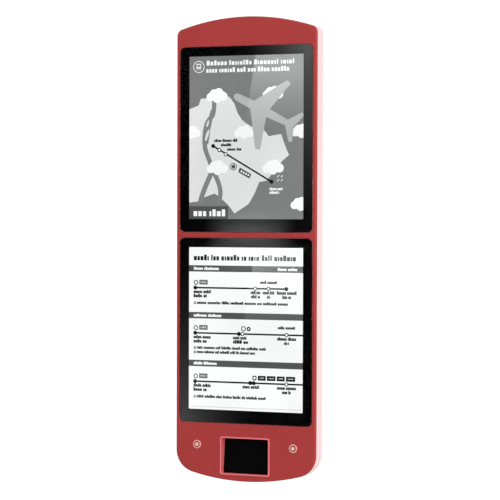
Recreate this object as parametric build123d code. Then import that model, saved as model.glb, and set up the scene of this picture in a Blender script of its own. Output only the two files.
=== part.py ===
from build123d import *
import math
import os

# Ticket vending machine, hung on a wall. Millimetres.
# X runs to the user's right, Z up, and the front faces -Y. The origin is the middle of the four
# wall bolts, on the wall plane. "Depth" below is the distance out from the wall, so Y = -depth.

# ---- overall shape -------------------------------------------------------------------------
HEIGHT = 1162.0
WIDTH = 375.0
ARCH_RADIUS = 570.0
TOP_CORNER = 18.0
BOTTOM_CORNER = 57.0

# ---- depth stack, from the wall outwards ---------------------------------------------------
BOX_DEPTH = 60.0
SEAL_THICKNESS = 4.0
SIDE_FRAME_DEPTH = 41.0
PANEL_DEPTH = 8.0
GLASS_PROUD = 1.0

# ---- sheet and wall thicknesses ------------------------------------------------------------
BOX_SHEET = 2.0
SIDE_WALL = 2.5
LIP_SHEET = 2.0
FRAME_SHEET = 2.0
PANEL_WALL = 6.0
PANEL_EDGE_ROUND = 5.0
PANEL_RIM = 12.0
SIDE_FRAME_EDGE_ROUND = 1.5

# ---- insets of one outline inside another --------------------------------------------------
BOX_SIDE_INSET = 32.0
BOX_TOP_DROP = 54.0
BOX_BOTTOM_INSET = 6.5
BOX_TOP_CORNER = 10.0
BOX_BOTTOM_CORNER = 25.0
BOX_FLANGE = 6.0
FRONT_LIP = 10.0
REAR_LIP = 6.0

# ---- cover glasses and displays ------------------------------------------------------------
GLASS_THICKNESS = 4.0
GLASS_SIDE_MARGIN = 9.5
GLASS_TOP_MARGIN = 73.0
GLASS_BOTTOM_MARGIN = 145.0
GLASS_GAP = 14.0
GLASS_CORNER = 14.0
GLASS_FIT = 0.5
GLASS_BEVEL = 0.8
BOND_THICKNESS = 0.5
BOND_INSET = 1.0
SCREEN_WIDTH = 306.0
SCREEN_HEIGHT = 408.0
SCREEN_TOP_MARGIN = 24.0
SCREEN_THICKNESS = 2.5
SCREEN_EDGE = 2.0
WINDOW_EDGE = 3.0
CASE_SIDE_EDGE = 12.75
CASE_END_EDGE = 12.0
CASE_DEPTH = 20.0
CASE_STEP = 8.0
CASE_FIT = 0.5
BRACKET_SHEET = 1.5
BRACKET_FLANGE = 9.0
STUD_RADIUS = 1.5
STUD_LENGTH = 6.0

# ---- ticket outlet -------------------------------------------------------------------------
OUTLET_WIDTH = 126.5
OUTLET_HEIGHT = 89.0
OUTLET_BOTTOM_MARGIN = 19.5
OUTLET_CORNER = 4.0
OUTLET_WALL = 2.2
OUTLET_RECESS = 26.5
OUTLET_LIP = 3.4
OUTLET_LIP_PROUD = 1.8
OUTLET_FIT = 0.5
FLAP_THICKNESS = 3.0
FLAP_LEAN = 7.0
FLAP_GAP = 1.2
FLAP_BOTTOM_GAP = 0.7
FLAP_PIN_DROP = 1.5
FLAP_PIN_SETBACK = 2.5
FLAP_PIN_RADIUS = 2.0
FLAP_BARREL_RADIUS = 3.2
TRAY_SHEET = 1.0
TRAY_SIDE_GAP = 0.6
TRAY_FLOOR_GAP = 1.0
TRAY_DEPTH = 46.0

# ---- key locks -----------------------------------------------------------------------------
LOCK_SPACING = 258.0
LOCK_HEIGHT = 89.5
LOCK_RING_RADIUS = 10.8
LOCK_BARREL_RADIUS = 9.5
LOCK_PLUG_RADIUS = 7.8
LOCK_POST_RADIUS = 5.0
LOCK_RING_PROUD = 2.6
LOCK_BARREL_LENGTH = 25.0
LOCK_KEYWAY_DEPTH = 7.0
LOCK_TAIL_RADIUS = 4.0
LOCK_CAM_LENGTH = 30.0
LOCK_CAM_SHEET = 3.0
STRIKER_HEIGHT = 37.0
STRIKER_LIP = 18.0
STRIKER_GAP = 2.0

# ---- hinge ---------------------------------------------------------------------------------
HINGE_LENGTH = 150.0
HINGE_KNUCKLES = 5
HINGE_KNUCKLE_GAP = 0.5
HINGE_RADIUS = 5.0
HINGE_PIN_RADIUS = 3.0
HINGE_SHEET = 2.0
HINGE_LEAF = 26.0
HINGE_RISE = 6.0

# ---- fits ----------------------------------------------------------------------------------
RUNNING = 0.05
HOLE_FIT = 0.2

# ---- wall fixing ---------------------------------------------------------------------------
WALL_BOLT_SPACING_X = 200.0
WALL_BOLT_SPACING_Z = 800.0
WALL_BOLT_HOLE_RADIUS = 5.5
CABLE_HOLE_RADIUS = 16.0
CABLE_HEIGHT = -160.0
GROMMET_WALL = 3.0

# ---- printer, paper and cutter -------------------------------------------------------------
PAPER_WIDTH = 80.0
PLATEN_RADIUS = 8.0
PLATEN_SHAFT_RADIUS = 3.0
PLATEN_ABOVE_TRAY = 78.0
ROLL_ABOVE_PLATEN = 85.0
ROLL_RADIUS = 28.0
SPINDLE_RADIUS = 7.7
SPINDLE_END_RADIUS = 4.0
GEAR_MODULE = 1.0
GEAR_WIDTH = 5.0
PLATEN_TEETH = 24
IDLER_TEETH = 20
PINION_TEETH = 14
MOTOR_SIZE = 28.0
MOTOR_LENGTH = 32.0
PRINTER_SHEET = 2.0
BLADE_THICKNESS = 1.5
CHUTE_SHEET = 1.0
CHUTE_GAP = 8.0

# ---- worked-out places ---------------------------------------------------------------------
seal_front = BOX_DEPTH + SEAL_THICKNESS
side_frame_back = seal_front - LIP_SHEET
side_frame_front = side_frame_back + SIDE_FRAME_DEPTH
panel_front = side_frame_front + PANEL_DEPTH
panel_back = panel_front - PANEL_WALL
glass_front = panel_front + GLASS_PROUD
glass_back = glass_front - GLASS_THICKNESS
glass_seat = glass_back - BOND_THICKNESS

glass_width = WIDTH - 2 * GLASS_SIDE_MARGIN
glass_height = (HEIGHT - GLASS_TOP_MARGIN - GLASS_BOTTOM_MARGIN - GLASS_GAP) / 2
upper_glass_z = HEIGHT / 2 - GLASS_TOP_MARGIN - glass_height / 2
lower_glass_z = upper_glass_z - glass_height - GLASS_GAP
screen_drop = glass_height / 2 - SCREEN_TOP_MARGIN - SCREEN_HEIGHT / 2
upper_screen_z = upper_glass_z + screen_drop
lower_screen_z = lower_glass_z + screen_drop

screen_back = glass_seat - SCREEN_THICKNESS
case_front = max(panel_back, screen_back)
case_back = case_front - CASE_DEPTH
case_width = SCREEN_WIDTH + 2 * CASE_SIDE_EDGE
case_height = SCREEN_HEIGHT + 2 * CASE_END_EDGE
bracket_length = case_height - 20.0
stud_x = case_width / 2 + 5.75

box_top = HEIGHT / 2 - BOX_TOP_DROP
hinge_z = box_top + HINGE_RISE
hinge_depth = BOX_DEPTH - 2.0

outlet_z = -HEIGHT / 2 + OUTLET_BOTTOM_MARGIN + OUTLET_HEIGHT / 2
flap_front = panel_front - OUTLET_RECESS
flap_pin_depth = flap_front - FLAP_PIN_SETBACK
flap_pin_z = outlet_z + OUTLET_HEIGHT / 2 - FLAP_PIN_DROP
flap_slope = math.tan(math.radians(FLAP_LEAN))
flap_drop = OUTLET_HEIGHT - FLAP_PIN_DROP - FLAP_BOTTOM_GAP
flap_length = flap_drop / math.cos(math.radians(FLAP_LEAN))
recess_back = flap_front + FLAP_GAP + (flap_drop + FLAP_BOTTOM_GAP) * flap_slope
flap_half_width = OUTLET_WIDTH / 2 + OUTLET_WALL - 0.1
tray_half_width = flap_half_width + TRAY_SIDE_GAP
tray_radius = flap_length + TRAY_FLOOR_GAP
tray_back = flap_pin_depth - TRAY_DEPTH
tray_top = flap_pin_z + FLAP_BARREL_RADIUS + 3.3

lock_z = -HEIGHT / 2 + LOCK_HEIGHT
lock_barrel_back = panel_front - LOCK_BARREL_LENGTH
cam_front = lock_barrel_back - 2.0
cam_back = cam_front - LOCK_CAM_SHEET
striker_x = LOCK_SPACING / 2 - LOCK_CAM_LENGTH - 9.0

paper_depth = tray_back + 15.0
platen_depth = paper_depth + PLATEN_RADIUS + 0.25
platen_z = tray_top + PLATEN_ABOVE_TRAY
gear_x = PAPER_WIDTH / 2 + 13.0
idler_depth = platen_depth - GEAR_MODULE * (PLATEN_TEETH + IDLER_TEETH) / 2
pinion_depth = idler_depth - GEAR_MODULE * (IDLER_TEETH + PINION_TEETH) / 2
printer_plate_x = PAPER_WIDTH / 2 + 8.0
roll_z = platen_z + ROLL_ABOVE_PLATEN
roll_depth = ROLL_RADIUS + 10.0
cutter_z = platen_z - 26.0


# ---- helpers -------------------------------------------------------------------------------
def slab(face, back, front):
    """Extrude a sketch drawn in X and Z between two depths."""
    return extrude(Plane.XZ.offset(back) * face, amount=front - back)


def block(x, depth, z):
    """A box between two values in X, in depth and in Z."""
    middle = Pos((x[0] + x[1]) / 2, -(depth[0] + depth[1]) / 2, (z[0] + z[1]) / 2)
    return middle * Box(x[1] - x[0], depth[1] - depth[0], z[1] - z[0])


def about(middle, size):
    """The low and high value of a span, from its middle and its size."""
    return (middle - size / 2, middle + size / 2)


def rod_x(radius, x, depth, z):
    middle = Pos((x[0] + x[1]) / 2, -depth, z)
    return middle * Rot(0, 90, 0) * Cylinder(radius, x[1] - x[0])


def rod_y(radius, x, depth, z):
    middle = Pos(x, -(depth[0] + depth[1]) / 2, z)
    return middle * Rot(90, 0, 0) * Cylinder(radius, depth[1] - depth[0])


def rod_z(radius, x, depth, z):
    return Pos(x, -depth, (z[0] + z[1]) / 2) * Cylinder(radius, z[1] - z[0])


def plate(width, height, corner, depth, x=0.0, z=0.0):
    """A flat plate with rounded corners, parallel to the wall."""
    return slab(Pos(x, z) * RectangleRounded(width, height, corner), depth[0], depth[1])


def arched_outline(inset):
    """The front outline, drawn in by the same amount all round."""
    half = WIDTH / 2 - inset
    radius = ARCH_RADIUS - inset
    crown = HEIGHT / 2 - inset
    shoulder = crown - radius + math.sqrt(radius**2 - half**2)
    edges = [
        ThreePointArc((half, shoulder), (0, crown), (-half, shoulder)),
        Line((-half, shoulder), (-half, -shoulder)),
        ThreePointArc((-half, -shoulder), (0, -crown), (half, -shoulder)),
        Line((half, -shoulder), (half, shoulder)),
    ]
    face = make_face(edges)
    face = fillet(face.vertices().group_by(Axis.Y)[-1], max(TOP_CORNER - inset, 4.0))
    return fillet(face.vertices().group_by(Axis.Y)[0], max(BOTTOM_CORNER - inset, 4.0))


def box_outline(inset):
    """The wall box: straight sides and top, and a bottom that follows the arch."""
    half = WIDTH / 2 - BOX_SIDE_INSET - inset
    radius = ARCH_RADIUS - BOX_BOTTOM_INSET - inset
    top = box_top - inset
    crown = -HEIGHT / 2 + BOX_BOTTOM_INSET + inset
    shoulder = crown + radius - math.sqrt(radius**2 - half**2)
    edges = [
        Line((half, top), (-half, top)),
        Line((-half, top), (-half, shoulder)),
        ThreePointArc((-half, shoulder), (0, crown), (half, shoulder)),
        Line((half, shoulder), (half, top)),
    ]
    face = make_face(edges)
    face = fillet(face.vertices().group_by(Axis.Y)[-1], max(BOX_TOP_CORNER - inset, 1.5))
    return fillet(face.vertices().group_by(Axis.Y)[0], max(BOX_BOTTOM_CORNER - inset, 4.0))


def screw(head_radius, head_height, shank_radius, shank_length):
    """A dome-headed screw standing on the origin, its shank down -Z."""
    head = Pos(0, 0, head_height / 2) * Cylinder(head_radius, head_height)
    head = fillet(head.edges().group_by(Axis.Z)[-1], head_height * 0.45)
    head -= Pos(0, 0, head_height) * extrude(RegularPolygon(head_radius * 0.45, 6), amount=-head_height * 0.5)
    return head + Pos(0, 0, -shank_length / 2) * Cylinder(shank_radius, shank_length)


def hex_nut(across_flats, thickness, bore):
    nut = extrude(RegularPolygon(across_flats / 2, 6, major_radius=False), amount=thickness)
    return nut - Pos(0, 0, thickness / 2) * Cylinder(bore, thickness * 2)


def facing_wall(shape, x, depth, z):
    """Turn a piece whose head points up +Z so that it points back at the wall."""
    return Pos(x, -depth, z) * Rot(-90, 0, 0) * shape


# ---- front housing: panel, side frame, rear frame ------------------------------------------
def stud_places():
    places = []
    for screen_z in (upper_screen_z, lower_screen_z):
        for step in (-1.5, -0.5, 0.5, 1.5):
            for side in (-1, 1):
                places.append((side * stud_x, screen_z + step * bracket_length / 4))
    return places


def panel_screw_places():
    inset = (SIDE_WALL + FRONT_LIP) / 2
    radius = ARCH_RADIUS - inset
    places = [
        (side * (WIDTH / 2 - inset), level * HEIGHT / 2)
        for level in (-0.7, -0.35, 0.0, 0.35, 0.7)
        for side in (-1, 1)
    ]
    drop = radius - math.sqrt(radius**2 - (WIDTH / 4) ** 2)
    for side in (-1, 1):
        for end in (-1, 1):
            places.append((side * WIDTH / 4, end * (HEIGHT / 2 - inset - drop)))
    return places


def make_front_panel():
    body = slab(arched_outline(0), side_frame_front, panel_front)
    body = fillet(body.faces().sort_by(Axis.Y)[0].edges(), PANEL_EDGE_ROUND)
    body -= slab(arched_outline(PANEL_RIM), side_frame_front - 1, panel_back)
    for glass_z, screen_z in ((upper_glass_z, upper_screen_z), (lower_glass_z, lower_screen_z)):
        body -= plate(glass_width + 2 * GLASS_FIT, glass_height + 2 * GLASS_FIT, GLASS_CORNER + GLASS_FIT,
                      (glass_seat, panel_front + 1), z=glass_z)
        body -= plate(SCREEN_WIDTH + 2 * WINDOW_EDGE, SCREEN_HEIGHT + 2 * WINDOW_EDGE, 3.0,
                      (panel_back - 1, glass_seat + 1), z=screen_z)
        body -= plate(case_width + 2 * CASE_FIT, case_height + 2 * CASE_FIT, 4.0 + CASE_FIT,
                      (case_back, case_front), z=screen_z)
    outer_width = OUTLET_WIDTH + 2 * (OUTLET_WALL + OUTLET_FIT)
    outer_height = OUTLET_HEIGHT + 2 * (OUTLET_WALL + OUTLET_FIT)
    body -= plate(outer_width, outer_height, OUTLET_CORNER + OUTLET_WALL + OUTLET_FIT,
                  (panel_back - 1, panel_front + 1), z=outlet_z)
    for side in (-1, 1):
        body -= rod_y(LOCK_BARREL_RADIUS + RUNNING, side * LOCK_SPACING / 2,
                      (panel_back - 1, panel_front + 1), lock_z)
    for x, z in panel_screw_places():
        body -= rod_y(STUD_RADIUS + HOLE_FIT, x, (side_frame_front - 1, side_frame_front + 5.5), z)
    for x, z in stud_places():
        body += rod_y(STUD_RADIUS, x, (panel_back - STUD_LENGTH, panel_back + 1), z)
    return body


def make_side_frame():
    body = slab(arched_outline(0), side_frame_back, side_frame_front)
    body = fillet(body.faces().sort_by(Axis.Y)[-1].edges(), SIDE_FRAME_EDGE_ROUND)
    body -= slab(arched_outline(SIDE_WALL), side_frame_back + LIP_SHEET, side_frame_front - LIP_SHEET)
    body -= slab(arched_outline(FRONT_LIP), side_frame_front - LIP_SHEET - 1, side_frame_front + 1)
    body -= slab(arched_outline(REAR_LIP), side_frame_back - 1, side_frame_back + LIP_SHEET + 1)
    for step in range(-4, 5):
        body -= block(about(step * 22.0, 12.0), (side_frame_back + 11, side_frame_front - 11),
                      (-HEIGHT / 2 - 5, -HEIGHT / 2 + 15))
    for x, z in panel_screw_places():
        body -= rod_y(STUD_RADIUS + HOLE_FIT, x, (side_frame_front - 5, side_frame_front + 1), z)
    return body


def hinge_screw_xs():
    return [-60.0, -20.0, 20.0, 60.0]


def make_rear_frame():
    body = slab(arched_outline(SIDE_WALL + 0.3), seal_front, seal_front + FRAME_SHEET)
    body -= slab(box_outline(BOX_FLANGE), seal_front - 1, seal_front + FRAME_SHEET + 1)
    for x in hinge_screw_xs():
        body -= rod_y(2.0 + HOLE_FIT, x, (seal_front - 1, seal_front + FRAME_SHEET + 1), hinge_z + 18.0)
    return body


def make_door_seal():
    depth = (BOX_DEPTH + 0.2, seal_front)
    return slab(box_outline(1.0), *depth) - slab(box_outline(BOX_FLANGE - 1.0), *depth)


def make_panel_screws():
    one = screw(2.75, 2.0, STUD_RADIUS, 7.0)
    return [facing_wall(one, x, side_frame_front - LIP_SHEET, z) for x, z in panel_screw_places()]


# ---- glasses and displays ------------------------------------------------------------------
def make_glass(glass_z):
    body = plate(glass_width, glass_height, GLASS_CORNER, (glass_back, glass_front), z=glass_z)
    return chamfer(body.faces().sort_by(Axis.Y)[0].edges(), GLASS_BEVEL)


def make_glass_bond(glass_z, screen_z):
    depth = (glass_seat, glass_back)
    outer = plate(glass_width - 2 * BOND_INSET, glass_height - 2 * BOND_INSET, GLASS_CORNER - BOND_INSET,
                  depth, z=glass_z)
    return outer - plate(SCREEN_WIDTH, SCREEN_HEIGHT, 1.0, depth, z=screen_z)


def make_screen(screen_z):
    return plate(SCREEN_WIDTH + 2 * SCREEN_EDGE, SCREEN_HEIGHT + 2 * SCREEN_EDGE, 1.5,
                 (screen_back, glass_seat), z=screen_z)


def make_display_case(screen_z):
    body = plate(case_width, case_height, 4.0, (case_back + CASE_STEP, case_front), z=screen_z)
    body -= plate(SCREEN_WIDTH + 2 * WINDOW_EDGE, SCREEN_HEIGHT + 2 * WINDOW_EDGE, 3.0,
                  (screen_back, case_front + 1), z=screen_z)
    body += plate(case_width - 50, case_height - 70, 8.0, (case_back, case_back + CASE_STEP), z=screen_z)
    for step in range(-5, 6):
        body -= block(about(0.0, case_width - 110), (case_back - 1, case_back + 1.5),
                      about(screen_z + 90 + step * 12.0, 4.0))
    return body


def make_display_brackets(screen_z):
    pair = []
    for side in (-1, 1):
        inner = case_width / 2 + 0.25
        bearing = case_back + CASE_STEP
        z = about(screen_z, bracket_length)
        rail = block((inner, inner + BRACKET_SHEET), (bearing - BRACKET_SHEET, panel_back), z)
        rail += block((inner, inner + BRACKET_FLANGE), (panel_back - BRACKET_SHEET, panel_back), z)
        rail += block((inner - 16, inner + BRACKET_SHEET), (bearing - BRACKET_SHEET, bearing), z)
        if side < 0:
            rail = mirror(rail, Plane.YZ)
        for x, stud_z in stud_places():
            if x * side > 0 and abs(stud_z - screen_z) < bracket_length / 2:
                rail -= rod_y(STUD_RADIUS + HOLE_FIT, x, (panel_back - 5, panel_back + 1), stud_z)
        pair.append(rail)
    return pair


def make_bracket_nuts():
    one = hex_nut(5.5, 2.4, STUD_RADIUS + RUNNING)
    return [facing_wall(one, x, panel_back - BRACKET_SHEET, z) for x, z in stud_places()]


def make_driver_board(screen_z):
    middle = screen_z - 70.0
    board = (case_back - 4.6, case_back - 3.0)
    body = block(about(0.0, 120.0), board, about(middle, 80.0))
    for x in (-54.0, 54.0):
        for z in (-34.0, 34.0):
            body += rod_y(3.0, x, (board[0], case_back), middle + z)
    for x, z, width, height, rise in ((-30, 8, 18, 18, 1.8), (8, 14, 12, 12, 1.4), (36, -6, 20, 10, 3.2),
                                      (-20, -30, 40, 6, 4.0), (30, 30, 30, 6, 4.0)):
        body += block(about(x, width), (board[0] - rise, board[0] + 0.2), about(middle + z, height))
    return body


# ---- ticket outlet -------------------------------------------------------------------------
def lean(shape):
    """Tip a shape about the flap's pin, so that its foot comes forward."""
    to_pin = Pos(0, -flap_pin_depth, flap_pin_z)
    return to_pin * Rot(-FLAP_LEAN, 0, 0) * to_pin.inverse() * shape


def make_outlet_bezel():
    lip_width = OUTLET_WIDTH + 2 * OUTLET_LIP
    lip_height = OUTLET_HEIGHT + 2 * OUTLET_LIP
    body = plate(lip_width, lip_height, OUTLET_CORNER + OUTLET_LIP - 2,
                 (panel_front, panel_front + OUTLET_LIP_PROUD), z=outlet_z)
    body = fillet(body.faces().sort_by(Axis.Y)[0].edges(), OUTLET_LIP_PROUD * 0.6)
    body += plate(OUTLET_WIDTH + 2 * OUTLET_WALL, OUTLET_HEIGHT + 2 * OUTLET_WALL,
                  OUTLET_CORNER + OUTLET_WALL, (flap_front - 2, panel_front + 0.5), z=outlet_z)
    body -= plate(OUTLET_WIDTH, OUTLET_HEIGHT, OUTLET_CORNER,
                  (flap_front - 3, panel_front + OUTLET_LIP_PROUD + 1), z=outlet_z)
    flap_side = block((-WIDTH, WIDTH), (flap_front - 60, flap_front + FLAP_GAP), about(outlet_z, WIDTH))
    return body - lean(flap_side)


def make_outlet_tray():
    outer_x = tray_half_width + TRAY_SHEET
    low = flap_pin_z - tray_radius - TRAY_SHEET
    floor_front = recess_back - 1.0
    drum = rod_x(tray_radius + TRAY_SHEET, (-outer_x, outer_x), flap_pin_depth, flap_pin_z)
    drum &= block((-outer_x, outer_x), (tray_back, floor_front), (low - 1, flap_pin_z))
    drum += block((-outer_x, outer_x), (tray_back, floor_front), (flap_pin_z - 1, tray_top))
    hollow = rod_x(tray_radius, (-tray_half_width, tray_half_width), flap_pin_depth, flap_pin_z)
    hollow &= block((-tray_half_width, tray_half_width), (tray_back + TRAY_SHEET, floor_front + 1),
                    (low - 1, flap_pin_z))
    hollow += block((-tray_half_width, tray_half_width), (tray_back + TRAY_SHEET, floor_front + 1),
                    (flap_pin_z - 1, tray_top - TRAY_SHEET))
    mouth = block((-tray_half_width, tray_half_width), (tray_back + TRAY_SHEET, tray_back + 24),
                  (tray_top - 5, tray_top + 1))
    body = drum - hollow - mouth
    for side in (-1, 1):
        inner, outer = sorted((side * tray_half_width, side * outer_x))
        body += block((inner, outer), (flap_front - 8, panel_back), (outlet_z - 38, outlet_z + 38))
        ear = sorted((side * tray_half_width, side * (outer_x + 11)))
        body += block(ear, (panel_back - TRAY_SHEET, panel_back), (outlet_z - 34, outlet_z + 34))
    return body - rod_x(FLAP_PIN_RADIUS + RUNNING, (-outer_x - 1, outer_x + 1), flap_pin_depth, flap_pin_z)


def make_outlet_flap():
    bottom = flap_pin_z - flap_length
    body = block((-flap_half_width, flap_half_width), (flap_front - FLAP_THICKNESS, flap_front),
                 (bottom, flap_pin_z))
    body = fillet(body.edges().filter_by(Axis.X).group_by(Axis.Z)[0], 1.0)
    body += rod_x(FLAP_BARREL_RADIUS, (-flap_half_width, flap_half_width), flap_pin_depth, flap_pin_z)
    body += block((-flap_half_width + 6, flap_half_width - 6),
                  (flap_front - FLAP_THICKNESS - 2, flap_front - FLAP_THICKNESS), about(outlet_z, 3.0))
    return lean(body) - rod_x(FLAP_PIN_RADIUS + RUNNING, (-flap_half_width - 1, flap_half_width + 1),
                              flap_pin_depth, flap_pin_z)


def make_flap_pin():
    reach = tray_half_width + TRAY_SHEET + 2
    body = rod_x(FLAP_PIN_RADIUS, (-reach, reach), flap_pin_depth, flap_pin_z)
    return body + rod_x(FLAP_PIN_RADIUS + 1.2, (reach - 1.5, reach), flap_pin_depth, flap_pin_z)


# ---- key locks -----------------------------------------------------------------------------
def make_lock_barrel(x):
    ring = rod_y(LOCK_RING_RADIUS, x, (panel_front, panel_front + LOCK_RING_PROUD), lock_z)
    ring = fillet(ring.edges().group_by(Axis.Y)[0], 1.0)
    body = ring + rod_y(LOCK_BARREL_RADIUS, x, (lock_barrel_back, panel_front + 0.5), lock_z)
    return body - rod_y(LOCK_PLUG_RADIUS + RUNNING, x, (lock_barrel_back - 1, panel_front + 5), lock_z)


def make_lock_plug(x):
    face = panel_front + LOCK_RING_PROUD - 0.4
    body = rod_y(LOCK_PLUG_RADIUS, x, (cam_front, face - LOCK_KEYWAY_DEPTH), lock_z)
    body += rod_y(LOCK_POST_RADIUS, x, (face - LOCK_KEYWAY_DEPTH - 1, face), lock_z)
    body += rod_y(LOCK_TAIL_RADIUS, x, (cam_back - 1, cam_front + 1), lock_z)
    return body + rod_y(LOCK_TAIL_RADIUS + 1.8, x, (cam_back - 3, cam_back), lock_z)


def make_lock_cam(x):
    body = rod_y(10.0, x, (cam_back, cam_front), lock_z)
    body += block(about(x, 13.0), (cam_back, cam_front), (lock_z, lock_z + LOCK_CAM_LENGTH))
    body = fillet(body.edges().filter_by(Axis.Y).group_by(Axis.Z)[-1], 4.0)
    return body - rod_y(LOCK_TAIL_RADIUS, x, (cam_back - 1, cam_front + 1), lock_z)


def make_lock_nuts():
    one = hex_nut(24.0, 6.0, LOCK_BARREL_RADIUS + RUNNING)
    return [facing_wall(one, side * LOCK_SPACING / 2, panel_back, lock_z) for side in (-1, 1)]


def make_lock_strikers():
    pair = []
    lip_front = cam_front + STRIKER_GAP + BOX_SHEET
    z = (lock_z - STRIKER_HEIGHT / 2, lock_z + STRIKER_HEIGHT / 2)
    for side in (-1, 1):
        body = block((striker_x, striker_x + BOX_SHEET), (BOX_SHEET, lip_front), z)
        body += block((striker_x, striker_x + STRIKER_LIP), (lip_front - BOX_SHEET, lip_front), z)
        body += block((striker_x, striker_x + 22), (BOX_SHEET, 2 * BOX_SHEET), z)
        pair.append(mirror(body, Plane.YZ) if side < 0 else body)
    return pair


# ---- hinge ---------------------------------------------------------------------------------
def knuckle_spans(first):
    pitch = HINGE_LENGTH / HINGE_KNUCKLES
    spans = []
    for number in range(first, HINGE_KNUCKLES, 2):
        low = -HINGE_LENGTH / 2 + number * pitch
        spans.append((low + HINGE_KNUCKLE_GAP / 2, low + pitch - HINGE_KNUCKLE_GAP / 2))
    return spans


def make_door_hinge_leaf():
    plane = (seal_front - HINGE_SHEET, seal_front)
    x = (-HINGE_LENGTH / 2, HINGE_LENGTH / 2)
    body = block(x, plane, (hinge_z + HINGE_RADIUS + 2, hinge_z + HINGE_LEAF))
    for span in knuckle_spans(0):
        body += block(span, plane, (hinge_z, hinge_z + HINGE_RADIUS + 3))
        body += rod_x(HINGE_RADIUS, span, hinge_depth, hinge_z)
    for screw_x in hinge_screw_xs():
        body -= rod_y(2.0 + HOLE_FIT, screw_x, (plane[0] - 1, plane[1] + 1), hinge_z + 18.0)
    return body - rod_x(HINGE_PIN_RADIUS + RUNNING, (x[0] - 1, x[1] + 1), hinge_depth, hinge_z)


def make_box_hinge_leaf():
    z = (box_top, box_top + HINGE_SHEET)
    x = (-HINGE_LENGTH / 2, HINGE_LENGTH / 2)
    back = hinge_depth - HINGE_LEAF - 7
    body = block(x, (back, hinge_depth - HINGE_RADIUS - 2), z)
    for span in knuckle_spans(1):
        body += block(span, (back, hinge_depth), z)
        body += rod_x(HINGE_RADIUS, span, hinge_depth, hinge_z)
    for screw_x in hinge_screw_xs():
        body -= rod_z(2.0 + HOLE_FIT, screw_x, hinge_depth - 22.0, (z[0] - 1, z[1] + 1))
    return body - rod_x(HINGE_PIN_RADIUS + RUNNING, (x[0] - 1, x[1] + 1), hinge_depth, hinge_z)


def make_hinge_pin():
    end = HINGE_LENGTH / 2 + 3
    body = rod_x(HINGE_PIN_RADIUS, (-end, end), hinge_depth, hinge_z)
    for side in (-1, 1):
        cap = sorted((side * (end - 2.5), side * end))
        body += rod_x(HINGE_PIN_RADIUS + 1.5, cap, hinge_depth, hinge_z)
    return body


def make_door_leaf_screws():
    one = screw(4.0, 2.2, 2.0, 5.0)
    return [facing_wall(one, x, seal_front - HINGE_SHEET, hinge_z + 18.0) for x in hinge_screw_xs()]


def make_box_leaf_screws():
    one = screw(4.0, 2.2, 2.0, 7.0)
    return [Pos(x, -(hinge_depth - 22.0), box_top + HINGE_SHEET) * one for x in hinge_screw_xs()]


# ---- wall box and what is fixed in it ------------------------------------------------------
FAN_X = 108.0
FAN_SIZE = 50.0
FAN_DEPTH = 15.0
FAN_BORE_RADIUS = 23.5
FAN_HUB_RADIUS = 10.0
fan_depth = BOX_DEPTH / 2
fan_top = box_top - BOX_SHEET


def make_wall_box():
    body = slab(box_outline(0), 0, BOX_DEPTH)
    body -= slab(box_outline(BOX_SHEET), BOX_SHEET, BOX_DEPTH - BOX_SHEET)
    body -= slab(box_outline(BOX_FLANGE), BOX_DEPTH - BOX_SHEET - 1, BOX_DEPTH + 1)
    for x in (-1, 1):
        for z in (-1, 1):
            body -= rod_y(WALL_BOLT_HOLE_RADIUS, x * WALL_BOLT_SPACING_X / 2, (-1, BOX_SHEET + 1),
                          z * WALL_BOLT_SPACING_Z / 2)
    body -= rod_y(CABLE_HOLE_RADIUS, 0, (-1, BOX_SHEET + 1), CABLE_HEIGHT)
    body -= rod_z(FAN_BORE_RADIUS, FAN_X, fan_depth, (fan_top - 1, box_top + 1))
    for screw_x in hinge_screw_xs():
        body -= rod_z(2.0 + HOLE_FIT, screw_x, hinge_depth - 22.0, (fan_top - 1, box_top + 1))
    half = WIDTH / 2 - BOX_SIDE_INSET
    for bank in (-HEIGHT * 0.36, HEIGHT * 0.3):
        for step in range(9):
            body -= block((-half - 1, half + 1), about(BOX_DEPTH / 2, 34.0), about(bank + step * 9.0, 3.5))
    return body


def make_cable_grommet():
    body = rod_y(CABLE_HOLE_RADIUS + 4, 0, (BOX_SHEET, BOX_SHEET + 2.5), CABLE_HEIGHT)
    body += rod_y(CABLE_HOLE_RADIUS, 0, (0, BOX_SHEET + 1), CABLE_HEIGHT)
    return body - rod_y(CABLE_HOLE_RADIUS - GROMMET_WALL, 0, (-1, 10), CABLE_HEIGHT)


def make_fan_housing():
    z = (fan_top - FAN_DEPTH, fan_top)
    body = block(about(FAN_X, FAN_SIZE), about(fan_depth, FAN_SIZE), z)
    body = fillet(body.edges().filter_by(Axis.Z), 4.0)
    body -= rod_z(FAN_BORE_RADIUS, FAN_X, fan_depth, (z[0] - 1, z[1] + 1))
    spider = rod_z(FAN_HUB_RADIUS - 1, FAN_X, fan_depth, (z[0], z[0] + 2.5))
    for turn in (45, 135):
        arm = Box(2 * FAN_BORE_RADIUS + 1, 3.0, 2.5)
        spider += Pos(FAN_X, -fan_depth, z[0] + 1.25) * Rot(0, 0, turn) * arm
    body += spider
    return body - rod_z(1.5 + RUNNING, FAN_X, fan_depth, (z[0] - 1, z[0] + 5))


def make_fan_rotor():
    low = fan_top - FAN_DEPTH + 3.2
    high = fan_top - 1.5
    body = rod_z(FAN_HUB_RADIUS, FAN_X, fan_depth, (low, high))
    reach = FAN_BORE_RADIUS - 1.5 - FAN_HUB_RADIUS
    for blade in range(7):
        vane = Pos(FAN_HUB_RADIUS + reach / 2 - 0.5, 0, 0) * Rot(38, 0, 0) * Box(reach + 1, 9.0, 1.2)
        body += Pos(FAN_X, -fan_depth, (low + high) / 2) * Rot(0, 0, blade * 360 / 7) * vane
    return body + rod_z(1.5, FAN_X, fan_depth, (fan_top - FAN_DEPTH + 0.3, low + 1))


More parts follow.
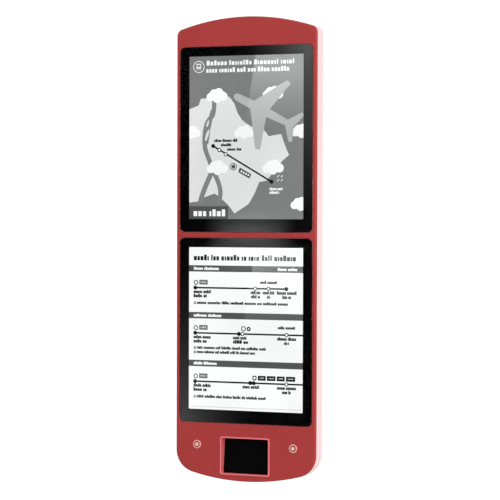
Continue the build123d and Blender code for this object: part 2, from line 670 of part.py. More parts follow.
def make_fan_guard():
    z = (box_top, box_top + 1.6)
    body = None
    for radius in (4.0, 10.0, 16.0, 22.0, 27.0):
        ring = rod_z(radius, FAN_X, fan_depth, z) - rod_z(radius - 1.6, FAN_X, fan_depth, z)
        body = ring if body is None else body + ring
    for turn in (45, 135):
        bar = Box(53.0, 1.6, z[1] - z[0])
        body += Pos(FAN_X, -fan_depth, (z[0] + z[1]) / 2) * Rot(0, 0, turn) * bar
    return body


SUPPLY_TOP = 230.0


def make_power_supply():
    top = HEIGHT / 2 - SUPPLY_TOP
    x, depth, z = (-140.0, -44.0), (BOX_SHEET, BOX_SHEET + 36), (top - 150, top)
    body = block(x, depth, z)
    body = fillet(body.edges().filter_by(Axis.Z).group_by(Axis.Y)[0], 2.0)
    for row in range(9):
        for column in range(6):
            body -= rod_y(2.2, x[0] + 18 + column * 12, (depth[1] - 1.5, depth[1] + 1), top - 18 - row * 10)
    body -= block((x[0] + 6, x[1] - 6), (depth[0] + 14, depth[1] + 1), (z[0] - 1, z[0] + 16))
    for number in range(7):
        body += block(about(x[0] + 15 + number * 11, 7.0), (depth[0] + 13, depth[0] + 21),
                      (z[0] + 2, z[0] + 12))
    return body


def make_controller_board():
    top = HEIGHT / 2 - SUPPLY_TOP
    x, z = (-28.0, 140.0), (top - 130, top)
    back, front = BOX_SHEET + 8.0, BOX_SHEET + 9.6
    body = block(x, (back, front), z)
    for corner_x in (x[0] + 6, x[1] - 6):
        for corner_z in (z[0] + 6, z[1] - 6):
            body += rod_y(3.5, corner_x, (BOX_SHEET, front), corner_z)
    body += block((x[0] + 60, x[0] + 96), (front - 0.2, front + 2.4), (top - 72, top - 36))
    for number in range(5):
        body += block(about(x[0] + 24 + number * 26, 18.0), (front - 0.2, front + 11), (z[0], z[0] + 15))
    for number in range(2):
        body += block((x[1] - 44, x[1] - 38), (front - 0.2, front + 7),
                      about(top - 32 - number * 12, 6.0)) + block(
            (x[1] - 44, x[1] - 14), (front - 0.2, front + 4), about(top - 32 - number * 12, 6.0))
    for number in range(6):
        body += rod_y(3.2, x[0] + 16 + number * 8.0, (front - 0.2, front + 9), top - 14)
    return body


def make_heat_sink():
    top = HEIGHT / 2 - SUPPLY_TOP
    base = BOX_SHEET + 12.0
    x, z = about(50.0, 52.0), about(top - 54, 52.0)
    body = block(x, (base, base + 4), z)
    for fin in range(9):
        body += block(about(x[0] + 2 + fin * 6.0, 1.6), (base + 3, base + 22), z)
    return body


RAIL_Z = -60.0


def make_din_rail():
    depth = BOX_SHEET
    x = (-120.0, 120.0)
    body = block(x, (depth, depth + 1), about(RAIL_Z, 27.0))
    for side in (-1, 1):
        body += block(x, (depth, depth + 7.5), about(RAIL_Z + side * 13.0, 1.0))
        body += block(x, (depth + 6.5, depth + 7.5), about(RAIL_Z + side * 15.25, 4.5))
    return body


def make_circuit_breaker():
    front = BOX_SHEET + 7.5
    body = block((-110.0, -74.0), (front, front + 44), about(RAIL_Z, 84.0))
    body = fillet(body.edges().filter_by(Axis.X), 2.0)
    body += block((-108.0, -76.0), (front + 43, front + 50), about(RAIL_Z, 44.0))
    for x in (-101.0, -83.0):
        body += block(about(x, 9.0), (front + 49, front + 57), about(RAIL_Z + 5, 9.0))
        for z in (-36.0, 36.0):
            body -= rod_y(3.0, x, (front + 40, front + 45), RAIL_Z + z)
    return body


def make_terminal_blocks():
    front = BOX_SHEET + 7.5
    row = []
    for number in range(8):
        x = -54.0 + number * 8.4
        one = block(about(x, 8.0), (front, front + 36), about(RAIL_Z, 60.0))
        one = fillet(one.edges().filter_by(Axis.X).group_by(Axis.Y)[0], 5.0)
        for z in (-18.0, 18.0):
            one -= rod_y(2.4, x, (front + 30, front + 37), RAIL_Z + z)
        row.append(one)
    return row


# ---- printer, cutter and paper -------------------------------------------------------------
def involute_gear(teeth, width, bore, tooth_up):
    """A spur gear about +Z at the origin, with a tooth or a gap centred on +X."""
    pitch = GEAR_MODULE * teeth / 2
    base = pitch * math.cos(math.radians(20))
    tip = pitch + 0.85 * GEAR_MODULE
    root = pitch - 1.2 * GEAR_MODULE
    half_tooth = 0.40 * math.pi / teeth + math.tan(math.radians(20)) - math.radians(20)

    def flank(radius):
        roll = math.sqrt(max((radius / base) ** 2 - 1, 0.0))
        return half_tooth - (roll - math.atan(roll))

    start = max(base, root + 0.05)
    radii = [start + (tip - start) * step / 3 for step in range(4)]
    rising = [(root, -flank(start))] + [(r, -flank(r)) for r in radii]
    falling = [(r, -angle) for r, angle in reversed(rising)]
    phase = 0.0 if tooth_up else math.pi / teeth
    points = []
    for tooth in range(teeth):
        middle = 2 * math.pi * tooth / teeth + phase
        points += [(r * math.cos(middle + a), r * math.sin(middle + a)) for r, a in rising + falling]
    gear = extrude(make_face(Polyline(*points, close=True)), amount=width)
    return gear - Pos(0, 0, width / 2) * Cylinder(bore, width * 2)


def gear_on_x(gear, depth):
    """Lay a gear made about +Z along +X, with its +X direction towards the front."""
    return Pos(gear_x, -depth, platen_z) * Rot(0, 90, 0) * Rot(0, 0, -90) * gear


def make_printer_frame():
    z = (cutter_z - 14, platen_z + 32)
    body = block((-printer_plate_x - 12, printer_plate_x + 12), (BOX_SHEET, BOX_SHEET + PRINTER_SHEET), z)
    for side in (-1, 1):
        x = sorted((side * (printer_plate_x - PRINTER_SHEET), side * printer_plate_x))
        body += block(x, (BOX_SHEET + 1, platen_depth + 12), z)
    body += block((-printer_plate_x, printer_plate_x), (platen_depth + 8, platen_depth + 12),
                  (z[1] - 8, z[1]))
    body += rod_x(2.5, (printer_plate_x - 1, gear_x + GEAR_WIDTH + 2), idler_depth, platen_z)
    for side in (-1, 1):
        x = sorted((side * (printer_plate_x - 5), side * (printer_plate_x + 1)))
        body -= rod_x(PLATEN_SHAFT_RADIUS + RUNNING, x, platen_depth, platen_z)
    return body - rod_x(4.0, (printer_plate_x - 5, printer_plate_x + 1), pinion_depth, platen_z)


def make_platen_roller():
    body = rod_x(PLATEN_RADIUS, about(0.0, PAPER_WIDTH + 2), platen_depth, platen_z)
    return body + rod_x(PLATEN_SHAFT_RADIUS, (-printer_plate_x - 3, gear_x + GEAR_WIDTH + 1.5),
                        platen_depth, platen_z)


def make_print_head():
    front = paper_depth - 0.3
    body = block(about(0.0, PAPER_WIDTH + 4), (front - 5, front), about(platen_z, 12.0))
    body = fillet(body.edges().filter_by(Axis.X).group_by(Axis.Y)[0], 2.0)
    return body + block(about(0.0, 2 * (printer_plate_x - PRINTER_SHEET)), (front - 7, front - 5),
                        about(platen_z + 4, 26.0))


def make_stepper_motor():
    x = (printer_plate_x - PRINTER_SHEET - MOTOR_LENGTH, printer_plate_x - PRINTER_SHEET)
    body = block(x, about(pinion_depth, MOTOR_SIZE), about(platen_z, MOTOR_SIZE))
    body = chamfer(body.edges().filter_by(Axis.X), 3.0)
    band = block((x[0] + 8, x[1] - 8), about(pinion_depth, MOTOR_SIZE + 2), about(platen_z, MOTOR_SIZE + 2))
    band -= block((x[0] + 7, x[1] - 7), about(pinion_depth, MOTOR_SIZE - 1.6), about(platen_z, MOTOR_SIZE - 1.6))
    return body - band


def make_motor_pinion():
    pinion = gear_on_x(involute_gear(PINION_TEETH, GEAR_WIDTH, 1.0, True), pinion_depth)
    return pinion + rod_x(2.5, (printer_plate_x - PRINTER_SHEET + 0.3, gear_x + 1), pinion_depth, platen_z)


def make_cutter_frame():
    x = about(0.0, 2 * (printer_plate_x - PRINTER_SHEET) - 0.2)
    body = block(x, (paper_depth - 18, paper_depth + 14), about(cutter_z, 12.0))
    body -= block(about(0.0, PAPER_WIDTH + 5), about(paper_depth, 4.0), about(cutter_z, 20.0))
    return body - block(about(0.0, PAPER_WIDTH + 5), (paper_depth - 10, paper_depth + 15),
                        about(cutter_z, BLADE_THICKNESS + 0.6))


def make_cutter_blade():
    body = block(about(0.0, PAPER_WIDTH + 4), (paper_depth + 3, paper_depth + 13),
                 about(cutter_z, BLADE_THICKNESS))
    edge = body.edges().filter_by(Axis.X).group_by(Axis.Y)[-1].sort_by(Axis.Z)[0]
    body = chamfer(edge, 1.0)
    return body + block(about(0.0, 24.0), (paper_depth + 12, paper_depth + 24),
                        about(cutter_z, BLADE_THICKNESS))


def make_ticket_chute():
    z = (tray_top + 2.5, cutter_z - 6.5)
    half = PAPER_WIDTH / 2 + 4
    body = block((-half, half), about(paper_depth, CHUTE_GAP + 2 * CHUTE_SHEET), z)
    body -= block((-half + CHUTE_SHEET, half - CHUTE_SHEET), about(paper_depth, CHUTE_GAP), (z[0] - 1, z[1] + 1))
    back = paper_depth - CHUTE_GAP / 2 - CHUTE_SHEET
    return body + block(about(0.0, 40.0), (BOX_SHEET + PRINTER_SHEET, back + 0.5), (z[1] - 5, z[1] - 3))


def make_paper_roll():
    x = about(0.0, PAPER_WIDTH)
    return rod_x(ROLL_RADIUS, x, roll_depth, roll_z) - rod_x(SPINDLE_RADIUS, x, roll_depth, roll_z)


def make_roll_spindle():
    body = rod_x(SPINDLE_RADIUS, about(0.0, PAPER_WIDTH + 4), roll_depth, roll_z)
    return body + rod_x(SPINDLE_END_RADIUS, about(0.0, 2 * printer_plate_x + 6), roll_depth, roll_z)


def make_roll_cradle():
    pair = []
    for side in (-1, 1):
        x = (printer_plate_x - PRINTER_SHEET, printer_plate_x)
        body = block(x, (BOX_SHEET, roll_depth + 9), about(roll_z, 26.0))
        body = fillet(body.edges().filter_by(Axis.X).group_by(Axis.Y)[0], 6.0)
        body += block((x[0], x[1] + 14), (BOX_SHEET, BOX_SHEET + PRINTER_SHEET), about(roll_z, 26.0))
        body -= rod_x(SPINDLE_END_RADIUS + RUNNING, (x[0] - 1, x[1] + 1), roll_depth, roll_z)
        body -= block((x[0] - 1, x[1] + 1), (roll_depth, roll_depth + 20),
                      about(roll_z, 2 * (SPINDLE_END_RADIUS + RUNNING)))
        pair.append(mirror(body, Plane.YZ) if side < 0 else body)
    return pair


# ---- every piece, in the order in which it is put together ---------------------------------
NODES = {
    "wall_box": make_wall_box(),
    "cable_grommet": make_cable_grommet(),
    "fan_housing": make_fan_housing(),
    "fan_rotor": make_fan_rotor(),
    "fan_guard": make_fan_guard(),
    "power_supply": make_power_supply(),
    "controller_board": make_controller_board(),
    "heat_sink": make_heat_sink(),
    "din_rail": make_din_rail(),
    "circuit_breaker": make_circuit_breaker(),
    "terminal_blocks": make_terminal_blocks(),
    "printer_frame": make_printer_frame(),
    "print_head": make_print_head(),
    "platen_roller": make_platen_roller(),
    "platen_gear": gear_on_x(involute_gear(PLATEN_TEETH, GEAR_WIDTH, PLATEN_SHAFT_RADIUS, True), platen_depth),
    "idler_gear": gear_on_x(involute_gear(IDLER_TEETH, GEAR_WIDTH, 2.5 + RUNNING, False), idler_depth),
    "motor_pinion": make_motor_pinion(),
    "stepper_motor": make_stepper_motor(),
    "cutter_frame": make_cutter_frame(),
    "cutter_blade": make_cutter_blade(),
    "ticket_chute": make_ticket_chute(),
    "roll_cradle": make_roll_cradle(),
    "roll_spindle": make_roll_spindle(),
    "paper_roll": make_paper_roll(),
    "lock_strikers": make_lock_strikers(),
    "box_hinge_leaf": make_box_hinge_leaf(),
    "box_leaf_screws": make_box_leaf_screws(),
    "hinge_pin": make_hinge_pin(),
    "door_hinge_leaf": make_door_hinge_leaf(),
    "door_leaf_screws": make_door_leaf_screws(),
    "rear_frame": make_rear_frame(),
    "door_seal": make_door_seal(),
    "side_frame": make_side_frame(),
    "front_panel": make_front_panel(),
    "panel_screws": make_panel_screws(),
    "upper_screen": make_screen(upper_screen_z),
    "lower_screen": make_screen(lower_screen_z),
    "upper_display_case": make_display_case(upper_screen_z),
    "lower_display_case": make_display_case(lower_screen_z),
    "upper_display_brackets": make_display_brackets(upper_screen_z),
    "lower_display_brackets": make_display_brackets(lower_screen_z),
    "bracket_nuts": make_bracket_nuts(),
    "upper_driver_board": make_driver_board(upper_screen_z),
    "lower_driver_board": make_driver_board(lower_screen_z),
    "upper_glass_bond": make_glass_bond(upper_glass_z, upper_screen_z),
    "lower_glass_bond": make_glass_bond(lower_glass_z, lower_screen_z),
    "upper_glass": make_glass(upper_glass_z),
    "lower_glass": make_glass(lower_glass_z),
    "outlet_bezel": make_outlet_bezel(),
    "outlet_tray": make_outlet_tray(),
    "outlet_flap": make_outlet_flap(),
    "flap_pin": make_flap_pin(),
    "left_lock_barrel": make_lock_barrel(-LOCK_SPACING / 2),
    "right_lock_barrel": make_lock_barrel(LOCK_SPACING / 2),
    "left_lock_plug": make_lock_plug(-LOCK_SPACING / 2),
    "right_lock_plug": make_lock_plug(LOCK_SPACING / 2),
    "left_lock_cam": make_lock_cam(-LOCK_SPACING / 2),
    "right_lock_cam": make_lock_cam(LOCK_SPACING / 2),
    "lock_nuts": make_lock_nuts(),
}

os.makedirs("parts", exist_ok=True)
for name, shape in NODES.items():
    if isinstance(shape, list):
        shape = Compound(children=shape)
    export_step(shape, f"parts/{name}.step")
print(f"{len(NODES)} nodes; hinge at depth {hinge_depth:.2f}, z {hinge_z:.2f}; glass front {glass_front:.2f}")
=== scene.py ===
import bmesh
import bpy
import math
import random
from mathutils import Matrix, Quaternion, Vector


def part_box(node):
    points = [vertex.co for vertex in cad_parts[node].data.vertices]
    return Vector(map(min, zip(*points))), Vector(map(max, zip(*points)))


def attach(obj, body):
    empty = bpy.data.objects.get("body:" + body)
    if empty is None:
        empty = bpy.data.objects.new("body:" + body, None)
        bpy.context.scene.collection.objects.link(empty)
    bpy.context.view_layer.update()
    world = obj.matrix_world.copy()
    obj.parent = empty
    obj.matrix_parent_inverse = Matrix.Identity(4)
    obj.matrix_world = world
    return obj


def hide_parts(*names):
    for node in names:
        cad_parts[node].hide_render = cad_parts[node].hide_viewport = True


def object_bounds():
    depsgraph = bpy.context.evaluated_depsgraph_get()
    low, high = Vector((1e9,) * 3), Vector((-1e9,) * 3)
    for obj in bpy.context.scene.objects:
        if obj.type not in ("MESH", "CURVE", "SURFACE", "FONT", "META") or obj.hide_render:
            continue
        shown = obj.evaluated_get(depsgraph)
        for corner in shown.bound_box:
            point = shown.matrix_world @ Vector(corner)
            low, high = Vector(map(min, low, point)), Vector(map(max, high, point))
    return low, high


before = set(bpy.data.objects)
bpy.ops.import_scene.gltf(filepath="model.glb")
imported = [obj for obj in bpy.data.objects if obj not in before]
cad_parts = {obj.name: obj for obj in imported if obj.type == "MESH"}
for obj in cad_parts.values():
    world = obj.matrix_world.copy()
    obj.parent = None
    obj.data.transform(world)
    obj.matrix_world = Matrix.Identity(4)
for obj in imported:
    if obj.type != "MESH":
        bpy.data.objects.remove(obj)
cad_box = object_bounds()

# ---- camera --------------------------------------------------------------------------------
# A long lens, a little to the right of the machine and at chest height, so that the front
# shows almost square and a sliver of the casing's right side shows with it.
CAMERA_YAW = math.radians(21.61)
CAMERA_PITCH = math.radians(1.03)
CAMERA_ROLL = math.radians(0.16)
CAMERA_TARGET = Vector((0.0085, -0.100, -0.0011))
CAMERA_DISTANCE = 4.984
CAMERA_LENS = 143.7
camera_data = bpy.data.cameras.new("camera")
camera_data.lens = CAMERA_LENS
camera = bpy.data.objects.new("camera", camera_data)
bpy.context.scene.collection.objects.link(camera)
bpy.context.scene.camera = camera
sight = Vector((
    -math.sin(CAMERA_YAW) * math.cos(CAMERA_PITCH),
    math.cos(CAMERA_YAW) * math.cos(CAMERA_PITCH),
    -math.sin(CAMERA_PITCH),
))
camera.location = CAMERA_TARGET - sight * CAMERA_DISTANCE
camera.rotation_mode = "QUATERNION"
camera.rotation_quaternion = sight.to_track_quat("-Z", "Y") @ Quaternion((0, 0, 1), CAMERA_ROLL)


# ---- wall box ------------------------------------------------------------------------------
# The box that bolts to the wall: folded 2 mm steel, powder coated in a fine grey texture, with
# louvres in both sides. Everything that stays on the wall is fixed in it.
def tint(code):
    """A colour from a paint chart's hex code, as the shader's linear values."""
    values = [int(code[i:i + 2], 16) / 255 for i in (1, 3, 5)]
    return tuple(v / 12.92 if v <= 0.04045 else ((v + 0.055) / 1.055) ** 2.4 for v in values) + (1.0,)


def new_group(name, inputs, outputs):
    """A shader group with named inputs and outputs; returns it with its two end nodes."""
    tree = bpy.data.node_groups.new(name, "ShaderNodeTree")
    for label, kind, value in inputs:
        socket = tree.interface.new_socket(label, in_out="INPUT", socket_type=kind)
        socket.default_value = value
    for label, kind in outputs:
        tree.interface.new_socket(label, in_out="OUTPUT", socket_type=kind)
    return tree, tree.nodes.new("NodeGroupInput"), tree.nodes.new("NodeGroupOutput")


def sums(tree, operation, first, second=None, third=None):
    """A Math node on sockets or plain numbers; returns its output."""
    node = tree.nodes.new("ShaderNodeMath")
    node.operation = operation
    for place, value in enumerate((first, second, third)):
        if value is None:
            continue
        if isinstance(value, (int, float)):
            node.inputs[place].default_value = value
        else:
            tree.links.new(value, node.inputs[place])
    return node.outputs[0]


def spread(tree, value, low, high, to_low=0.0, to_high=1.0):
    """A smooth Map Range on a value; returns its output."""
    node = tree.nodes.new("ShaderNodeMapRange")
    node.interpolation_type = "SMOOTHSTEP"
    tree.links.new(value, node.inputs["Value"])
    for label, number in (("From Min", low), ("From Max", high), ("To Min", to_low), ("To Max", to_high)):
        node.inputs[label].default_value = number
    return node.outputs["Result"]


def noise(tree, vector, scale, detail=3.0):
    """A Noise Texture on a vector; returns its grey output."""
    node = tree.nodes.new("ShaderNodeTexNoise")
    node.inputs["Detail"].default_value = detail
    if isinstance(scale, (int, float)):
        node.inputs["Scale"].default_value = scale
    else:
        tree.links.new(scale, node.inputs["Scale"])
    tree.links.new(vector, node.inputs["Vector"])
    return node.outputs["Fac"]


def make_edge_wear_and_highlight():
    """Where corners and arrises are rubbed, and where the outlet surround's edges carry a painted highlight:
    a mask that follows the edges and breaks up along them.
    """
    tree, given, result = new_group(
        "edge wear and painted highlight",
        [("Radius", "NodeSocketFloat", 0.001), ("Breakup", "NodeSocketFloat", 180.0)],
        [("Mask", "NodeSocketFloat")],
    )
    bevel = tree.nodes.new("ShaderNodeBevel")
    bevel.samples = 4
    tree.links.new(given.outputs["Radius"], bevel.inputs["Radius"])
    flat = tree.nodes.new("ShaderNodeNewGeometry")
    dot = tree.nodes.new("ShaderNodeVectorMath")
    dot.operation = "DOT_PRODUCT"
    tree.links.new(bevel.outputs["Normal"], dot.inputs[0])
    tree.links.new(flat.outputs["Normal"], dot.inputs[1])
    edge = spread(tree, sums(tree, "SUBTRACT", 1.0, dot.outputs["Value"]), 0.03, 0.2)
    place = tree.nodes.new("ShaderNodeTexCoord")
    broken = spread(tree, noise(tree, place.outputs["Object"], given.outputs["Breakup"]), 0.42, 0.66)
    tree.links.new(sums(tree, "MULTIPLY", edge, broken), result.inputs["Mask"])
    return tree


def make_surface_grain():
    """The texture of a finish: fine grain for the bump and broad blotches for colour and sheen."""
    tree, given, result = new_group(
        "surface grain",
        [("Stretch", "NodeSocketVector", (1.0, 1.0, 1.0)), ("Fine", "NodeSocketFloat", 900.0),
         ("Broad", "NodeSocketFloat", 14.0)],
        [("Grain", "NodeSocketFloat"), ("Blotch", "NodeSocketFloat")],
    )
    place = tree.nodes.new("ShaderNodeTexCoord")
    stretch = tree.nodes.new("ShaderNodeVectorMath")
    stretch.operation = "MULTIPLY"
    tree.links.new(place.outputs["Object"], stretch.inputs[0])
    tree.links.new(given.outputs["Stretch"], stretch.inputs[1])
    fine = noise(tree, stretch.outputs["Vector"], given.outputs["Fine"], 2.0)
    tree.links.new(fine, result.inputs["Grain"])
    tree.links.new(noise(tree, place.outputs["Object"], given.outputs["Broad"]), result.inputs["Blotch"])
    return tree


def make_settled_dust():
    """Dust that lies on what faces up, thin and cloudy."""
    tree, given, result = new_group(
        "settled dust", [("Amount", "NodeSocketFloat", 0.3)], [("Mask", "NodeSocketFloat")])
    flat = tree.nodes.new("ShaderNodeNewGeometry")
    parts = tree.nodes.new("ShaderNodeSeparateXYZ")
    tree.links.new(flat.outputs["Normal"], parts.inputs[0])
    upward = spread(tree, parts.outputs["Z"], 0.35, 0.95)
    place = tree.nodes.new("ShaderNodeTexCoord")
    cloudy = spread(tree, noise(tree, place.outputs["Object"], 42.0, 5.0), 0.3, 0.75)
    lying = sums(tree, "MULTIPLY", upward, cloudy)
    tree.links.new(sums(tree, "MULTIPLY", lying, given.outputs["Amount"]), result.inputs["Mask"])
    return tree


EDGE_WEAR_AND_HIGHLIGHT = make_edge_wear_and_highlight()
SURFACE_GRAIN = make_surface_grain()
SETTLED_DUST = make_settled_dust()


def place_group(tree, group, **values):
    """Put a shader group into a material with its own values."""
    node = tree.nodes.new("ShaderNodeGroup")
    node.node_tree = group
    for label, value in values.items():
        node.inputs[label].default_value = value
    return node


def blend_colours(tree, factor, first, second):
    """A colour Mix on sockets or plain colours; returns its output."""
    node = tree.nodes.new("ShaderNodeMix")
    node.data_type = "RGBA"
    for socket, value in ((node.inputs[0], factor), (node.inputs[6], first), (node.inputs[7], second)):
        if isinstance(value, (tuple, float)):
            socket.default_value = value
        else:
            tree.links.new(value, socket)
    return node.outputs[2]


def finish(name, colour, roughness, metallic=0.0, fine=900.0, stretch=(1.0, 1.0, 1.0), depth=0.00001,
           mottle=0.08, wear_and_highlight_colour=None, wear_and_highlight_radius=0.0008, dust=0.0, specular=0.5, coat=0.0, coat_roughness=0.1):
    """A painted, moulded, plated or machined finish. The edge colour argument shows on edges: where they rub,
    and on the outlet surround as a painted highlight.
    """
    material = bpy.data.materials.new(name)
    material.use_nodes = True
    tree = material.node_tree
    shader = tree.nodes["Principled BSDF"]
    grain = place_group(tree, SURFACE_GRAIN, Fine=fine, Stretch=stretch)
    base = tint(colour)
    darker = tuple(v * (1 - mottle) for v in base[:3]) + (1.0,)
    shade = blend_colours(tree, spread(tree, grain.outputs["Blotch"], 0.35, 0.65), darker, base)
    rough = sums(tree, "MULTIPLY_ADD", grain.outputs["Blotch"], roughness * 0.4, roughness * 0.8)
    if wear_and_highlight_colour:
        edge_wear_and_highlight = place_group(tree, EDGE_WEAR_AND_HIGHLIGHT, Radius=wear_and_highlight_radius)
        shade = blend_colours(tree, edge_wear_and_highlight.outputs["Mask"], shade, tint(wear_and_highlight_colour))
        rough = sums(tree, "MULTIPLY_ADD", edge_wear_and_highlight.outputs["Mask"], -roughness * 0.35, rough)
    if dust:
        lying = place_group(tree, SETTLED_DUST, Amount=dust)
        shade = blend_colours(tree, lying.outputs["Mask"], shade, tint("#B8B2A8"))
        rough = sums(tree, "MULTIPLY_ADD", lying.outputs["Mask"], 0.35, rough)
    tree.links.new(shade, shader.inputs["Base Color"])
    tree.links.new(rough, shader.inputs["Roughness"])
    bump = tree.nodes.new("ShaderNodeBump")
    bump.inputs["Distance"].default_value = depth
    tree.links.new(grain.outputs["Grain"], bump.inputs["Height"])
    tree.links.new(bump.outputs["Normal"], shader.inputs["Normal"])
    shader.inputs["Metallic"].default_value = metallic
    shader.inputs["Specular IOR Level"].default_value = specular
    shader.inputs["Coat Weight"].default_value = coat
    shader.inputs["Coat Roughness"].default_value = coat_roughness
    return material


def dress(material, *nodes):
    """Give CAD pieces their finish."""
    for node in nodes:
        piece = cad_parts[node]
        if not piece.data.materials:
            piece.data.materials.append(material)
        for socket in piece.material_slots:
            socket.material = material


powder_coat = finish("grey powder coat", "#8E9092", 0.62, fine=1500.0, depth=0.00006,
                     wear_and_highlight_colour="#C9CCCE", dust=0.5)
dress(powder_coat, "wall_box", "rear_frame")

# ---- cable grommet -------------------------------------------------------------------------
# A black rubber ring pressed into the hole in the box's back, so the supply cable from the
# wall doesn't chafe.
rubber = finish("black rubber", "#1A1A1B", 0.75, fine=2200.0, depth=0.00003, mottle=0.3, dust=0.5,
                specular=0.3)
dress(rubber, "cable_grommet", "platen_roller")

# ---- fan -----------------------------------------------------------------------------------
# A 50 mm fan in a moulded black frame, screwed under the box's top, with a bright wire guard
# over the hole above it.
moulded_black = finish("moulded black plastic", "#171718", 0.48, fine=1300.0, depth=0.00002, mottle=0.2,
                       wear_and_highlight_colour="#3A3A3B", dust=0.4)
plated_wire = finish("bright plated wire", "#C8CACC", 0.2, metallic=1.0, depth=0.000002, wear_and_highlight_colour="#8F8C86")
dress(moulded_black, "fan_housing", "fan_rotor")
dress(plated_wire, "fan_guard")

# ---- power supply --------------------------------------------------------------------------
# A perforated box of zinc-plated sheet, screwed to the back of the wall box, with a row of
# terminals at its foot.
zinc = finish("zinc plated steel", "#B4B8BA", 0.36, metallic=1.0, fine=420.0, stretch=(1.0, 1.0, 0.06),
              depth=0.000004, mottle=0.16, wear_and_highlight_colour="#8E8B84", dust=0.25)
dress(zinc, "power_supply", "din_rail", "printer_frame", "roll_cradle", "ticket_chute", "lock_strikers",
      "box_hinge_leaf", "door_hinge_leaf", "upper_display_brackets", "lower_display_brackets",
      "left_lock_cam", "right_lock_cam")


# ---- controller board ----------------------------------------------------------------------
# A green circuit board on four stand-offs, with black and pale parts soldered to its face. An
# extruded aluminium heat sink sits on the processor.
def circuit_board(name, middle):
    """Green solder mask with copper tracks, and dark or pale parts off both faces of a 1.6 mm sheet."""
    material = finish(name, "#1C5434", 0.3, fine=1200.0, depth=0.000004, coat=0.3)
    tree = material.node_tree
    shader = tree.nodes["Principled BSDF"]
    mask = shader.inputs["Base Color"].links[0].from_socket
    place = tree.nodes.new("ShaderNodeTexCoord")
    across = tree.nodes.new("ShaderNodeSeparateXYZ")
    tree.links.new(place.outputs["Object"], across.inputs[0])
    bricks = tree.nodes.new("ShaderNodeTexVoronoi")
    bricks.distance = "MANHATTAN"
    bricks.feature = "DISTANCE_TO_EDGE"
    bricks.inputs["Scale"].default_value = 140.0
    flat = tree.nodes.new("ShaderNodeCombineXYZ")
    tree.links.new(across.outputs["X"], flat.inputs["X"])
    tree.links.new(across.outputs["Z"], flat.inputs["Y"])
    tree.links.new(flat.outputs[0], bricks.inputs["Vector"])
    tracks = spread(tree, bricks.outputs["Distance"], 0.02, 0.06, 1.0, 0.0)
    tracked = blend_colours(tree, tracks, mask, tint("#3C8A50"))
    off_sheet = sums(tree, "ABSOLUTE", sums(tree, "SUBTRACT", across.outputs["Y"], middle))
    raised = spread(tree, off_sheet, 0.0009, 0.0011)
    banded = spread(tree, noise(tree, flat.outputs[0], 34.0, 0.0), 0.49, 0.51)
    parts = blend_colours(tree, banded, tint("#131314"), tint("#D9D7CC"))
    tree.links.new(blend_colours(tree, raised, tracked, parts), shader.inputs["Base Color"])
    return material


STAND_OFF = 0.008
BOARD_SHEET = 0.0016
sheet_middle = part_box("controller_board")[1].y - STAND_OFF - BOARD_SHEET / 2
dress(circuit_board("green circuit board", sheet_middle), "controller_board")
raw_aluminium = finish("extruded aluminium", "#C2C4C6", 0.32, metallic=1.0, fine=500.0,
                       stretch=(1.0, 1.0, 0.04), depth=0.000004, wear_and_highlight_colour="#E0E1E2", dust=0.2)
dress(raw_aluminium, "heat_sink", "print_head", "cutter_frame")

# ---- supply rail ---------------------------------------------------------------------------
# The breaker and eight terminal blocks clip on a steel rail across the box. Both are moulded
# plastic, the breaker pale and the blocks grey.
pale_plastic = finish("pale moulded plastic", "#DEDED8", 0.42, fine=1100.0, depth=0.00001,
                      wear_and_highlight_colour="#F0F0EC", dust=0.3)
grey_plastic = finish("grey moulded plastic", "#9A9C9C", 0.45, fine=1100.0, depth=0.00001,
                      wear_and_highlight_colour="#B9BBBB", dust=0.3)
dress(pale_plastic, "circuit_breaker")
dress(grey_plastic, "terminal_blocks")

# ---- printer -------------------------------------------------------------------------------
# Two zinc-plated side plates carry a rubber roller in front of an aluminium print head. A
# stepper motor turns the roller through three gears outside the right plate.
white_plastic = finish("natural acetal", "#E6E4DB", 0.3, fine=700.0, depth=0.000004, mottle=0.05, dust=0.15)
brass = finish("machined brass", "#B99A55", 0.28, metallic=1.0, fine=600.0, depth=0.000004, wear_and_highlight_colour="#D8BE7E")
black_paint = finish("black stove paint", "#1B1B1C", 0.34, fine=900.0, depth=0.00001,
                     wear_and_highlight_colour="#8C8C8C", dust=0.2)
ground_steel = finish("ground steel", "#9EA2A6", 0.22, metallic=1.0, fine=700.0, stretch=(0.05, 1.0, 1.0),
                      depth=0.000003)
dress(white_plastic, "platen_gear", "idler_gear", "roll_spindle")
dress(brass, "motor_pinion", "lock_nuts")
dress(black_paint, "stepper_motor")
dress(ground_steel, "cutter_blade", "hinge_pin", "flap_pin")

# ---- paper ---------------------------------------------------------------------------------
# A roll of 80 mm thermal paper on a plastic spindle. Its tail runs down between the print
# head and the roller, and ends at the last cut, just above the blade.
roll_low, roll_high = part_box("paper_roll")
roll_middle = (roll_low + roll_high) / 2
roll_radius = (roll_high.z - roll_low.z) / 2
roller_low, roller_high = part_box("platen_roller")
roller_middle = (roller_low + roller_high) / 2
roller_radius = (roller_high.z - roller_low.z) / 2
PAPER_THICKNESS = 0.00008
NIP_GAP = 0.00012
TAIL_BOW = 0.002
CUT_GAP = 0.0006

paper_white = finish("thermal paper", "#F2F0EA", 0.55, fine=2600.0, depth=0.000004, mottle=0.03)
dress(paper_white, "paper_roll")


def new_piece(name, mesh, body, material, bevel=0.0):
    """Turn a bmesh into a piece that rides on a body, with its arrises eased if asked."""
    bmesh.ops.recalc_face_normals(mesh, faces=mesh.faces)
    data = bpy.data.meshes.new(name)
    mesh.to_mesh(data)
    mesh.free()
    piece = bpy.data.objects.new(name, data)
    bpy.context.scene.collection.objects.link(piece)
    data.materials.append(material)
    if bevel:
        eased = piece.modifiers.new("eased edges", "BEVEL")
        eased.width = bevel
        eased.segments = 3
        eased.limit_method = "ANGLE"
        eased.harden_normals = False
    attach(piece, body)
    return piece


